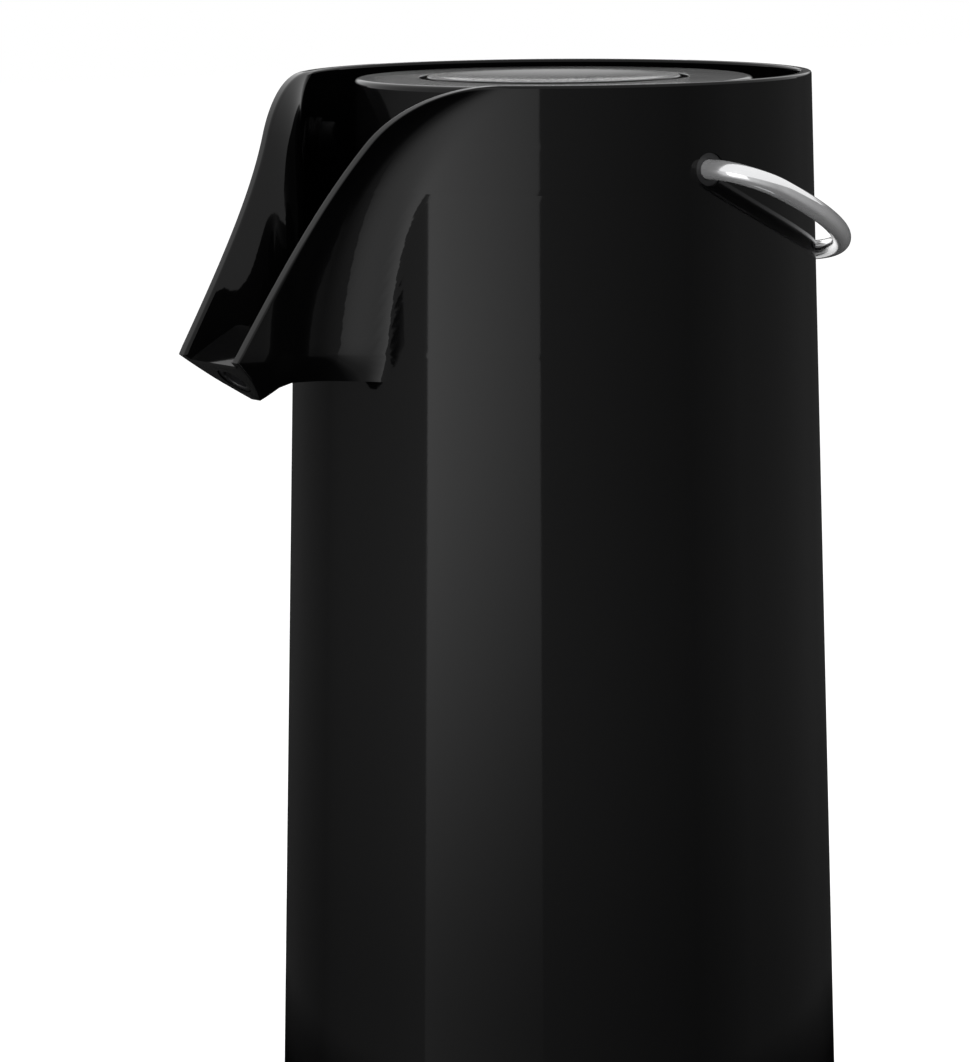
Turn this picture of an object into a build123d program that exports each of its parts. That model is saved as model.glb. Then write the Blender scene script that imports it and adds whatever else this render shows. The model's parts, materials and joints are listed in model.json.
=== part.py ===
from build123d import *
import math
import os

os.makedirs("parts", exist_ok=True)

# An insulated pump jug, in millimetres and degrees. Z is up from the surface that it stands on,
# the spout points towards -Y and the carrying handle hangs behind, at +Y. Depths are measured
# down from the rim.

# Jug body, a plain cone
body_height = 370.0
rim_radius = 75.0
base_radius = 84.0
shell_wall = 3.2

# Side view of the rim: level, then a bend, then a straight fall to the tip of the beak
brim_flat = 53.6
brim_bend_radius = 34.0
brim_fall = 58.4
beak_reach = 119.4
end_face_angle = 39.0
end_face_length = 19.3
underside_lift = 4.22
nose_back_length = 5.5
nose_back_angle = 43.0
nose_blend = 5.0
edge_round = 0.8

# Plan view of the beak: where its flanks leave the cone, and how far apart they run
spread_rim = 47.5
spread_deep = 27.0
spread_fade = 18.0
half_width_rim = 28.5
half_width_deep = 15.0
half_width_fade = 33.0
keel_lead = 10.0
keel_rate = 0.055
beak_wall = 3.8

# Floor of the open trough in the beak
floor_thickness = 2.4
floor_over_tube = 1.0
floor_break = 103.0
floor_slope = 5.0
floor_lip = 2.0

# Pouring passage
nozzle_drop = 11.0
nozzle_bore = 3.7
nozzle_radius = 5.4
nozzle_length = 3.0
nozzle_run = 8.0
nozzle_recess = 0.4
tube_radius = 4.8
tube_bore = 3.6
tube_bend_radius = 11.0
seal_thickness = 2.4
port_height = 3.0

# Collar that closes the body round the neck
collar_thickness = 3.0
collar_bore = 28.0
collar_sleeve = 3.0
collar_upstand_radius = 53.5
collar_upstand_wall = 3.5
collar_upstand_height = 17.0
collar_ribs = 6
collar_rib_thickness = 2.2
collar_rib_height = 9.0
collar_rib_reach = 60.0
neck_height = 21.3
gasket_height = 2.5
gasket_skirt = 5.0
gasket_wall = 2.2

# Double-walled glass flask
glass_wall = 1.6
flask_radius = 66.0
vacuum_gap = 4.4
neck_radius = 31.0
neck_bore = 27.1
lip_height = 1.5
shoulder_drop = 44.0
shoulder_rise = 24.0
flask_corner = 26.0
shoulder_corner = 22.0
neck_corner = 9.0
spacer_radius = 5.0
spacer_height = 70.0

# Base
pad_thickness = 2.5
pad_radius = 70.0
base_flange = 1.8
base_flange_inset = 0.6
base_rim_width = 9.0
base_rim_height = 10.0
base_web = 3.0
base_ribs = 9
base_rib_thickness = 2.0
base_rib_height = 4.0
pad_chamfer = 0.6
cushion_outer = 34.0
cushion_inner = 16.0
cushion_height = 9.0
cushion_seat = 6.0
cushion_lip = 4.0

# Screws and the lugs that take them
lug_radius = 5.0
lug_length = 20.0
lug_inset = 4.3
lug_end = 2.0
screw_radius = 1.5
screw_head_radius = 3.1
screw_head_height = 1.8
base_screw_length = 20.0
collar_screw_length = 15.0
pump_screw_length = 10.0

# Carrying handle, a bent wire
wire_radius = 2.85
pivot_depth = 24.4
handle_spare = 10.5
handle_centre = -8.0
elbow_radius = 11.5
handle_end_length = 8.0
bush_wall = 1.7
bush_flange_radius = 6.5
bush_flange_thickness = 1.7
bush_recess = 0.6
clip_radius = 5.4
clip_thickness = 1.2

# Pump head
head_radius = 58.3
head_recess = 1.4
head_wall = 2.3
head_top = 4.0
head_round = 1.9
skirt_lift = 8.7
groove_radius = 39.3
groove_depth = 2.4
groove_width = 2.2
guide_wall = 2.2
guide_end = 3.5
lock_flange = 2.5
lock_flange_bore = 42.0

# Stopper core
plug_radius = 26.4
plug_length = 18.0
core_radius = 33.0
core_height = 14.0
valve_chamber_radius = 14.5
air_hole_radius = 2.0
air_hole_offset = 12.0
ball_radius = 4.5
ball_chamber_radius = 5.6
ball_lift = 2.0
riser_radius = 3.6
dip_tube_radius = 4.0
dip_tube_bore = 3.0
dip_tube_clearance = 7.0
dip_socket = 26.0
dip_slot = 2.4
dip_slot_height = 4.0
o_ring_radius = 1.1
o_ring_height = 8.0

# Pump
pump_base_thickness = 3.0
spring_seat_radius = 12.0
spring_seat_height = 2.7
air_port_radius = 5.0
valve_radius = 8.0
valve_thickness = 1.5
valve_stem_radius = 2.0
valve_travel = 1.5
valve_spring_radius = 6.5
valve_wire = 0.4
valve_turns = 2
pump_screw_circle = 20.5
button_stand = 0.3
button_top = 3.2
button_dish = 0.8
button_travel = 25.0
button_skirt_wall = 2.2
button_hub_radius = 8.0
button_hub_length = 4.5
button_round = 0.6
button_border = 3.1
bellows_radius = 31.0
bellows_fold = 6.0
bellows_wall = 1.3
bellows_cuff = 2.0
bellows_folds = 5
bellows_plate_thickness = 3.0
spring_radius = 15.0
spring_wire = 0.9
spring_turns = 7

# Clearances, and how far cuts and joins run past a surface
running_gap = 0.3
seat_gap = 0.1
clip_gap = 0.05
travel_spare = 1.0
overcut = 1.0
side_spare = 15.0

# Helpers for places that several pieces share


def outer_radius(height):
    """Radius of the outside of the cone at a height."""
    return base_radius + (rim_radius - base_radius) * height / body_height


def inner_radius(height):
    """Radius of the inside of the cone at a height."""
    return outer_radius(height) - shell_wall


def turned(*points):
    """Half section of a turned piece, from (radius, height) points."""
    with BuildSketch(Plane.XZ) as section:
        with BuildLine():
            Polyline(*points, close=True)
        make_face()
    return section.sketch


def side_view(*points):
    """Region of the side view, from (forward, height) points, where forward is towards the spout."""
    with BuildSketch(Plane.YZ) as region:
        with BuildLine():
            Polyline(*[(-forward, height) for forward, height in points], close=True)
        make_face()
    return region.sketch


# Points of the side view, as (forward, height)
fall = math.radians(brim_fall)
bend_forward = brim_flat + brim_bend_radius * math.sin(fall)
bend_height = body_height - brim_bend_radius * (1 - math.cos(fall))
tip_height = bend_height - (beak_reach - bend_forward) * math.tan(fall)
face = math.radians(end_face_angle)
keel_forward = beak_reach - end_face_length * math.cos(face)
keel_height = tip_height - end_face_length * math.sin(face)
underside_height = keel_height + underside_lift
underside_depth = body_height - underside_height
keel_start = underside_depth - keel_lead
nose_back = math.radians(nose_back_angle)
nose_forward = keel_forward - nose_back_length * math.cos(nose_back)
nose_height = keel_height + nose_back_length * math.sin(nose_back)
side_reach = beak_reach + side_spare
back_reach = rim_radius + side_spare

# Outlines of the body seen from above. Each flank leaves the cone at a tangent and bends to run
# straight forward, and the beak narrows with depth like the bow of a boat.


def beak_section(depth, wall, side_wall):
    """Outline of the body at a depth, drawn in by a wall on the cone and a wall on the beak."""
    height = body_height - depth
    radius = outer_radius(height) - wall
    spread = spread_deep + (spread_rim - spread_deep) * math.exp(-depth / spread_fade)
    half = half_width_deep + (half_width_rim - half_width_deep) * math.exp(-depth / half_width_fade)
    half = half - keel_rate * max(0.0, depth - keel_start) ** 2 - side_wall
    side = spread_rim + side_spare
    angle = math.radians(spread)
    leave = (radius * math.sin(angle), -radius * math.cos(angle))
    turn = (half, leave[1] - (leave[0] - half) * math.tan(angle))
    with BuildSketch(Plane.XY.offset(height)) as section:
        with BuildLine():
            CenterArc((0, 0), radius, side - 90, 360 - 2 * side)
            CenterArc((0, 0), radius, spread - 90, side - spread)
            CenterArc((0, 0), radius, 270 - side, side - spread)
            Bezier(leave, turn, (half, -side_reach))
            Bezier((-leave[0], leave[1]), (-half, turn[1]), (-half, -side_reach))
            Line((half, -side_reach), (-half, -side_reach))
        make_face()
    return section.sketch


cavity_floor = underside_height + shell_wall
cavity_depth = underside_depth - shell_wall
hull_depths = [underside_depth * share for share in (-0.07, 0.02, 0.1, 0.2, 0.34, 0.52, 0.7, 0.86, 0.94, 1)]
cavity_depths = [cavity_depth * share for share in (-0.07, 0.02, 0.1, 0.2, 0.34, 0.52, 0.7, 0.86, 1)]
nose_depths = [underside_depth + underside_lift * share for share in (0, 0.7, 1.4)]

# Outlet at the end of the beak, and the tube that leads to it
nozzle_forward = beak_reach - nozzle_drop * math.cos(face)
nozzle_height = tip_height - nozzle_drop * math.sin(face)
corner_forward = nozzle_forward - nozzle_run * math.sin(face)
corner_height = nozzle_height + nozzle_run * math.cos(face)
slope = math.radians(floor_slope)
port_forward = core_radius + running_gap + seal_thickness
port_z = corner_height + (corner_forward - port_forward) * math.tan(slope)
nozzle_plane = Plane(
    origin=(0, -nozzle_forward, nozzle_height),
    x_dir=(1, 0, 0),
    z_dir=(0, -math.sin(face), -math.cos(face)),
)
port_plane = Plane(
    origin=(0, -port_forward, port_z),
    x_dir=(1, 0, 0),
    z_dir=(0, -math.cos(slope), -math.sin(slope)),
)

# Heights of the collar, the flask and the pump
collar_top = port_z - port_height
collar_bottom = collar_top - collar_thickness
gasket_top = collar_top - neck_height
lip_top = gasket_top - gasket_height
neck_top = lip_top - lip_height
base_top = pad_thickness + base_flange
cushion_bottom = base_top + base_web + cushion_seat
flask_floor = cushion_bottom + cushion_height
core_foot = collar_top + running_gap
core_top = core_foot + core_height
pump_floor = core_top + pump_base_thickness
head_height = body_height - head_recess
button_height = head_height + button_stand
button_radius = groove_radius - groove_width
button_under = button_height - button_dish - button_top
plate_top = button_under - button_hub_length
plate_bottom = plate_top - bellows_plate_thickness
lock_flange_bottom = pump_floor + running_gap
lock_flange_top = lock_flange_bottom + lock_flange
button_foot = lock_flange_top + button_travel + travel_spare
skirt_end = collar_top + skirt_lift

# Floor of the trough, as (forward, height) points of its upper side
floor_start_forward = inner_radius(corner_height) + overcut
floor_break_height = corner_height + tube_radius + floor_over_tube + floor_thickness
floor_start_height = floor_break_height + (floor_break - floor_start_forward) * math.tan(slope)

# Lugs for screws, placed so that each grows out of the inner wall
lug_circle_low = inner_radius(base_top + base_rim_height) - lug_inset
lug_circle_high = inner_radius(collar_bottom) - lug_inset
base_screw_angles = (90, 210, 330)
collar_screw_angles = (30, 150, 210, 330)

# Carrying handle: its pivot, and the angle at which it comes to rest on the back of the body
pivot_height = body_height - pivot_depth
taper = (base_radius - rim_radius) / body_height
handle_depth = rim_radius + handle_spare
rest_reach = outer_radius(pivot_height) + wire_radius + running_gap
rest_angle = math.acos(rest_reach / math.hypot(handle_depth, handle_depth * taper)) - math.atan(taper)
handle_radius = handle_depth - handle_centre
elbow_side = math.sqrt(
    (handle_radius - elbow_radius) ** 2 - (elbow_radius - handle_centre) ** 2
)
elbow_angle = math.degrees(math.atan2(elbow_radius - handle_centre, elbow_side))
handle_plane = Plane(
    origin=(0, 0, pivot_height),
    x_dir=(1, 0, 0),
    z_dir=(0, math.sin(rest_angle), math.cos(rest_angle)),
)
pivot_inside = inner_radius(pivot_height)
pivot_outside = outer_radius(pivot_height)
bush_radius = wire_radius + seat_gap + bush_wall
flange_sag = bush_flange_radius**2 / (2 * pivot_inside)
bush_face = pivot_inside - flange_sag - seat_gap


def along_face(distance, inward=0.0):
    """Point of the beak's end face, from its top edge down, or behind it by an inward distance."""
    forward = beak_reach - distance * math.cos(face) - inward * math.sin(face)
    return (forward, tip_height - distance * math.sin(face) + inward * math.cos(face))


def crossing(first, first_way, second, second_way):
    """Point where two lines of the side view cross."""
    turn = first_way[0] * second_way[1] - first_way[1] * second_way[0]
    apart = (second[0] - first[0], second[1] - first[1])
    share = (apart[0] * second_way[1] - apart[1] * second_way[0]) / turn
    return (first[0] + share * first_way[0], first[1] + share * first_way[1])


# The floor of the trough and the wall behind the end face are one bent web. These are its points.
web_start = (floor_start_forward, floor_start_height)
web_break = (floor_break, floor_break_height)
web_end = along_face(floor_lip)
web_fall = (web_end[0] - web_break[0], web_end[1] - web_break[1])
web_under = floor_thickness * math.hypot(*web_fall) / web_fall[0]
web_inside = crossing(
    (web_break[0], web_break[1] - web_under),
    web_fall,
    along_face(0, shell_wall),
    (-math.cos(face), -math.sin(face)),
)
web_foot = end_face_length + shell_wall

# Outer shell: the cone, with its front drawn out into an open beak
with BuildPart() as well:
    loft([beak_section(depth, shell_wall, beak_wall) for depth in cavity_depths])
    extrude(
        side_view(
            web_start,
            web_break,
            web_end,
            along_face(web_foot),
            along_face(web_foot, shell_wall),
            web_inside,
            (web_break[0], web_break[1] - web_under),
            (web_start[0], web_start[1] - floor_thickness),
        ),
        amount=side_reach,
        both=True,
        mode=Mode.SUBTRACT,
    )

# Way for the pouring tube through the wall behind the nozzle
nozzle_inner_end = nozzle_plane.offset(-nozzle_length).origin
tube_points = (port_plane.origin, (0, -corner_forward, corner_height), nozzle_inner_end)
with BuildPart() as tube_way:
    with BuildLine():
        FilletPolyline(*tube_points, radius=tube_bend_radius)
    with BuildSketch(port_plane):
        Circle(tube_radius + seat_gap)
    sweep()

# Small nose that hangs below the outlet
with BuildPart() as nose:
    loft([beak_section(depth, 0, 0) for depth in nose_depths])
    extrude(
        side_view(
            (keel_forward, keel_height),
            (nose_forward, nose_height),
            (nose_forward - nose_blend, underside_height),
            (nose_forward - nose_blend, underside_height + overcut),
            along_face(0),
        ),
        amount=side_reach,
        both=True,
        mode=Mode.INTERSECT,
    )

with BuildPart() as outer_shell:
    loft([beak_section(depth, 0, 0) for depth in hull_depths])
    with BuildSketch(Plane.YZ) as silhouette:
        with BuildLine():
            Line((back_reach, body_height), (-brim_flat, body_height))
            JernArc((-brim_flat, body_height), (-1, 0), brim_bend_radius, brim_fall)
            Line((-bend_forward, bend_height), (-beak_reach, tip_height))
            Line((-beak_reach, tip_height), (-keel_forward, keel_height))
            Line((-keel_forward, keel_height), (back_reach, keel_height))
            Line((back_reach, keel_height), (back_reach, body_height))
        make_face()
    extrude(amount=side_reach, both=True, mode=Mode.INTERSECT)
    add(nose.part)
    revolve(
        turned(
            (0, base_top),
            (outer_radius(base_top), base_top),
            (outer_radius(underside_height), underside_height),
            (0, underside_height),
        ),
        axis=Axis.Z,
    )
    revolve(
        turned(
            (0, base_top - overcut),
            (inner_radius(base_top - overcut), base_top - overcut),
            (inner_radius(cavity_floor), cavity_floor),
            (0, cavity_floor),
        ),
        axis=Axis.Z,
        mode=Mode.SUBTRACT,
    )
    add(well.part, mode=Mode.SUBTRACT)
    # Both edges of the wall rounded, all round the rim and down the beak
    brim = outer_shell.faces().filter_by(
        lambda side: side.center().Z > floor_start_height
        and side.normal_at().Z > math.cos(fall) / 2
    )
    fillet(brim.edges().filter_by(GeomType.LINE, reverse=True), edge_round)
    # Outlet through the end of the beak
    with BuildSketch(nozzle_plane):
        Circle(nozzle_radius + seat_gap)
    extrude(amount=-nozzle_length, both=True, mode=Mode.SUBTRACT)
    add(tube_way.part, mode=Mode.SUBTRACT)
    # Lugs for the screws of the base and of the collar
    with BuildSketch(Plane.XY.offset(base_top + base_rim_height + seat_gap)):
        for angle in base_screw_angles:
            with Locations(Location((0, 0), angle)):
                with Locations((lug_circle_low, 0)):
                    Circle(lug_radius)
    extrude(amount=lug_length)
    with BuildSketch(Plane.XY.offset(collar_bottom - lug_length)):
        for angle in collar_screw_angles:
            with Locations(Location((0, 0), angle)):
                with Locations((lug_circle_high, 0)):
                    Circle(lug_radius)
    extrude(amount=lug_length)
    with BuildSketch(Plane.XY.offset(base_top)):
        for angle in base_screw_angles:
            with Locations(Location((0, 0), angle)):
                with Locations((lug_circle_low, 0)):
                    Circle(screw_radius + seat_gap)
    extrude(amount=base_rim_height + lug_length - lug_end, mode=Mode.SUBTRACT)
    with BuildSketch(Plane.XY.offset(collar_bottom)):
        for angle in collar_screw_angles:
            with Locations(Location((0, 0), angle)):
                with Locations((lug_circle_high, 0)):
                    Circle(screw_radius + seat_gap)
    extrude(amount=lug_end - lug_length, mode=Mode.SUBTRACT)
    # Holes for the handle's bushes
    with Locations((0, 0, pivot_height)):
        Cylinder(
            bush_radius + seat_gap,
            2 * back_reach,
            rotation=(0, 90, 0),
            mode=Mode.SUBTRACT,
        )
outer_shell.part.label = "outer_shell"
export_step(outer_shell.part, "parts/outer_shell.step")

# Base plate, pushed up into the cone and held by three screws
base_rim_outer = inner_radius(base_top + base_rim_height) - running_gap
base_rim_inner = base_rim_outer - base_rim_width
cushion_cup = cushion_outer + running_gap
with BuildPart() as base_plate:
    revolve(
        turned(
            (0, pad_thickness),
            (outer_radius(base_top) - base_flange_inset, pad_thickness),
            (outer_radius(base_top) - base_flange_inset, base_top),
            (base_rim_outer, base_top),
            (base_rim_outer, base_top + base_rim_height),
            (base_rim_inner, base_top + base_rim_height),
            (base_rim_inner, base_top + base_web),
            (cushion_cup + cushion_lip, base_top + base_web),
            (cushion_cup + cushion_lip, cushion_bottom + cushion_lip),
            (cushion_cup, cushion_bottom + cushion_lip),
            (cushion_cup, cushion_bottom),
            (cushion_inner, cushion_bottom),
            (cushion_inner, base_top + base_web),
            (0, base_top + base_web),
        ),
        axis=Axis.Z,
    )
    rib_start = cushion_cup + cushion_lip - overcut
    rib_length = base_rim_inner - rib_start + overcut
    with BuildSketch(Plane.XY.offset(base_top + base_web - overcut)):
        with PolarLocations(rib_start + rib_length / 2, base_ribs):
            Rectangle(rib_length, base_rib_thickness)
    extrude(amount=base_rib_height + overcut)
    with BuildSketch(Plane.XY.offset(pad_thickness)):
        with PolarLocations(lug_circle_low, len(base_screw_angles), base_screw_angles[0]):
            Circle(screw_head_radius + seat_gap)
    extrude(amount=screw_head_height + seat_gap, mode=Mode.SUBTRACT)
    with BuildSketch(Plane.XY.offset(pad_thickness)):
        with PolarLocations(lug_circle_low, len(base_screw_angles), base_screw_angles[0]):
            Circle(screw_radius + seat_gap)
    extrude(amount=base_flange + base_rim_height, mode=Mode.SUBTRACT)
base_plate.part.label = "base_plate"
export_step(base_plate.part, "parts/base_plate.step")

with BuildPart() as foot_pad:
    with BuildSketch():
        Circle(pad_radius)
    extrude(amount=pad_thickness)
    chamfer(foot_pad.faces().sort_by(Axis.Z)[0].edges(), pad_chamfer)
foot_pad.part.label = "foot_pad"
export_step(foot_pad.part, "parts/foot_pad.step")


def screw_set(angles, circle, seat, length):
    """Screws on a circle. A positive length runs up from the seat, with the head below it."""
    head = -math.copysign(screw_head_height, length)
    with BuildPart() as screws:
        for angle in angles:
            x = circle * math.cos(math.radians(angle))
            y = circle * math.sin(math.radians(angle))
            with BuildSketch(Plane.XY.offset(seat)):
                with Locations((x, y)):
                    Circle(screw_head_radius)
            extrude(amount=head)
            with BuildSketch(Plane.XY.offset(seat)):
                with Locations((x, y)):
                    Circle(screw_radius)
            extrude(amount=length)
    return screws.part


base_screws = screw_set(
    base_screw_angles, lug_circle_low, pad_thickness + screw_head_height, base_screw_length
)
base_screws.label = "base_screws"
export_step(base_screws, "parts/base_screws.step")

collar_screws = screw_set(collar_screw_angles, lug_circle_high, collar_top, -collar_screw_length)
collar_screws.label = "collar_screws"
export_step(collar_screws, "parts/collar_screws.step")

# Flask: two glass walls, one inside the other, joined at the lip with a vacuum between them
shoulder_height = neck_top - shoulder_drop
shoulder_slope = shoulder_rise / (flask_radius - neck_radius)
shoulder_turn = math.tan((math.pi / 2 - math.atan(shoulder_slope)) / 2)


def bottle(inset, neck, top):
    """Half section of a bottle whose walls lie an inset inside the flask's outer surface."""
    radius = flask_radius - inset
    low = shoulder_height - inset * shoulder_turn
    high = low + (radius - neck) * shoulder_slope
    floor = flask_floor + inset
    with BuildSketch(Plane.XZ) as section:
        with BuildLine():
            FilletPolyline(
                (0, floor),
                (radius, floor),
                (radius, low),
                (neck, high),
                (neck, top),
                radius=[flask_corner - inset, shoulder_corner - inset, neck_corner + inset],
            )
            Polyline((neck, top), (0, top), (0, floor))
        make_face()
    return section.sketch


inner_inset = glass_wall + vacuum_gap
with BuildPart() as flask_outer_wall:
    revolve(bottle(0, neck_radius, neck_top), axis=Axis.Z)
    revolve(
        bottle(glass_wall, neck_radius - glass_wall, neck_top + overcut),
        axis=Axis.Z,
        mode=Mode.SUBTRACT,
    )
flask_outer_wall.part.label = "flask_outer_wall"
export_step(flask_outer_wall.part, "parts/flask_outer_wall.step")

with BuildPart() as flask_inner_wall:
    revolve(bottle(inner_inset, neck_bore + glass_wall, neck_top), axis=Axis.Z)
    with BuildSketch(Plane.XY.offset(neck_top)):
        Circle(neck_radius)
    extrude(amount=lip_height)
    revolve(
        bottle(inner_inset + glass_wall, neck_bore, lip_top + overcut),
        axis=Axis.Z,
        mode=Mode.SUBTRACT,
    )
flask_inner_wall.part.label = "flask_inner_wall"
export_step(flask_inner_wall.part, "parts/flask_inner_wall.step")

spacer_start = flask_radius - inner_inset + seat_gap
spacer_limit = flask_radius - glass_wall - seat_gap
spacer_end = math.sqrt(spacer_limit**2 - spacer_radius**2)
with BuildPart() as flask_spacers:
    for angle in base_screw_angles:
        with Locations(Location((0, 0, spacer_height), (0, 0, angle))):
            with Locations(Location((spacer_start, 0, 0), (0, 90, 0))):
                Cylinder(
                    spacer_radius,
                    spacer_end - spacer_start,
                    align=(Align.CENTER, Align.CENTER, Align.MIN),
                )
flask_spacers.part.label = "flask_spacers"
export_step(flask_spacers.part, "parts/flask_spacers.step")

with BuildPart() as flask_cushion:
    with BuildSketch(Plane.XY.offset(cushion_bottom)):
        Circle(cushion_outer)
        Circle(cushion_inner, mode=Mode.SUBTRACT)
    extrude(amount=cushion_height)
flask_cushion.part.label = "flask_cushion"
export_step(flask_cushion.part, "parts/flask_cushion.step")

gasket_inner = neck_radius + running_gap
gasket_outer = gasket_inner + gasket_wall
with BuildPart() as neck_gasket:
    revolve(
        turned(
            (neck_bore + running_gap, lip_top),
            (gasket_inner, lip_top),
            (gasket_inner, lip_top - gasket_skirt),
            (gasket_outer, lip_top - gasket_skirt),
            (gasket_outer, gasket_top),
            (neck_bore + running_gap, gasket_top),
        ),
        axis=Axis.Z,
    )
neck_gasket.part.label = "neck_gasket"
export_step(neck_gasket.part, "parts/neck_gasket.step")

# Collar: presses the gasket on the flask, closes the body and takes the thread of the pump head
collar_skirt = gasket_outer + running_gap
collar_hub = collar_bore + collar_sleeve
collar_edge = inner_radius(collar_top) - running_gap
upstand_inner = collar_upstand_radius - collar_upstand_wall
with BuildPart() as collar:
    revolve(
        turned(
            (collar_bore, gasket_top),
            (collar_skirt, gasket_top),
            (collar_skirt, lip_top),
            (collar_skirt + collar_sleeve, lip_top),
            (collar_skirt + collar_sleeve, gasket_top + collar_sleeve),
            (collar_hub, gasket_top + collar_sleeve),
            (collar_hub, collar_bottom),
            (collar_edge, collar_bottom),
            (collar_edge, collar_top),
            (collar_upstand_radius, collar_top),
            (collar_upstand_radius, collar_top + collar_upstand_height),
            (upstand_inner, collar_top + collar_upstand_height),
            (upstand_inner, collar_top),
            (collar_bore, collar_top),
        ),
        axis=Axis.Z,
    )
    collar_rib_start = collar_hub - overcut
    collar_rib_length = collar_rib_reach - collar_rib_start
    with BuildSketch(Plane.XY.offset(collar_bottom + overcut)):
        with PolarLocations(collar_rib_start + collar_rib_length / 2, collar_ribs):
            Rectangle(collar_rib_length, collar_rib_thickness)
    extrude(amount=-collar_rib_height - overcut)
    with BuildSketch(port_plane.offset(-seal_thickness)):
        Rectangle(2 * (tube_radius + running_gap), 2 * (tube_radius + running_gap))
    extrude(amount=collar_edge, mode=Mode.SUBTRACT)
    with BuildSketch(Plane.XY.offset(collar_top)):
        for angle in collar_screw_angles:
            with Locations(Location((0, 0), angle)):
                with Locations((lug_circle_high, 0)):
                    Circle(screw_radius + seat_gap)
    extrude(amount=-collar_thickness, mode=Mode.SUBTRACT)
collar.part.label = "collar"
export_step(collar.part, "parts/collar.step")

# Pouring tube, from the stopper's outlet to the nozzle in the beak
with BuildPart() as spout_tube:
    with BuildLine():
        FilletPolyline(*tube_points, radius=tube_bend_radius)
    with BuildSketch(port_plane):
        Circle(tube_radius)
        Circle(tube_bore, mode=Mode.SUBTRACT)
    sweep()
spout_tube.part.label = "spout_tube"
export_step(spout_tube.part, "parts/spout_tube.step")

with BuildPart() as spout_nozzle:
    with BuildSketch(nozzle_plane.offset(-nozzle_length)):
        Circle(nozzle_radius)
        Circle(nozzle_bore, mode=Mode.SUBTRACT)
    extrude(amount=nozzle_length - nozzle_recess)
spout_nozzle.part.label = "spout_nozzle"
export_step(spout_nozzle.part, "parts/spout_nozzle.step")

with BuildPart() as port_seal:
    with BuildSketch(port_plane):
        Circle(tube_radius)
        Circle(tube_bore, mode=Mode.SUBTRACT)
    extrude(amount=-2 * seal_thickness)
    with Locations((0, 0, port_z)):
        Cylinder(core_radius + running_gap, 4 * tube_radius, mode=Mode.SUBTRACT)
port_seal.part.label = "port_seal"
export_step(port_seal.part, "parts/port_seal.step")

# Carrying handle, its bushes in the shell and the clips on its ends
handle_end = pivot_inside - handle_end_length
with BuildPart() as handle_bail:
    with BuildLine(handle_plane) as wire:
        Line((-handle_end, 0), (-elbow_side, 0))
        CenterArc((-elbow_side, elbow_radius), elbow_radius, 180 - elbow_angle, 90 + elbow_angle)
        CenterArc((0, handle_centre), handle_radius, elbow_angle, 180 - 2 * elbow_angle)
        CenterArc((elbow_side, elbow_radius), elbow_radius, -90, 90 + elbow_angle)
        Line((handle_end, 0), (elbow_side, 0))
    with BuildSketch(Plane((handle_end, 0, pivot_height), x_dir=(0, 1, 0), z_dir=(1, 0, 0))):
        Circle(wire_radius)
    sweep()
handle_bail.part.label = "handle_bail"
export_step(handle_bail.part, "parts/handle_bail.step")


def bush(side):
    """Flanged bush for one end of the handle, on the side of X that the sign gives."""
    facing = Plane((0, 0, pivot_height), x_dir=(0, 1, 0), z_dir=(side, 0, 0))
    with BuildPart() as sleeve:
        with BuildSketch(facing.offset(bush_face - bush_flange_thickness)):
            Circle(bush_flange_radius)
        extrude(amount=bush_flange_thickness)
        with BuildSketch(facing.offset(bush_face)):
            Circle(bush_radius)
        extrude(amount=pivot_outside - bush_recess - bush_face)
        with BuildSketch(facing.offset(bush_face - bush_flange_thickness)):
            Circle(wire_radius + seat_gap)
        extrude(amount=shell_wall + 2 * bush_flange_thickness, mode=Mode.SUBTRACT)
    return sleeve.part


pivot_bush_right = bush(1)
pivot_bush_right.label = "pivot_bush_right"
export_step(pivot_bush_right, "parts/pivot_bush_right.step")
pivot_bush_left = bush(-1)
pivot_bush_left.label = "pivot_bush_left"
export_step(pivot_bush_left, "parts/pivot_bush_left.step")

clip_face = bush_face - bush_flange_thickness - running_gap
with BuildPart() as handle_clips:
    for side in (-1, 1):
        facing = Plane((0, 0, pivot_height), x_dir=(0, 1, 0), z_dir=(side, 0, 0))
        with BuildSketch(facing.offset(clip_face - clip_thickness)):
            Circle(clip_radius)
            Circle(wire_radius + clip_gap, mode=Mode.SUBTRACT)
        extrude(amount=clip_thickness)
handle_clips.part.label = "handle_clips"
export_step(handle_clips.part, "parts/handle_clips.step")

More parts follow.
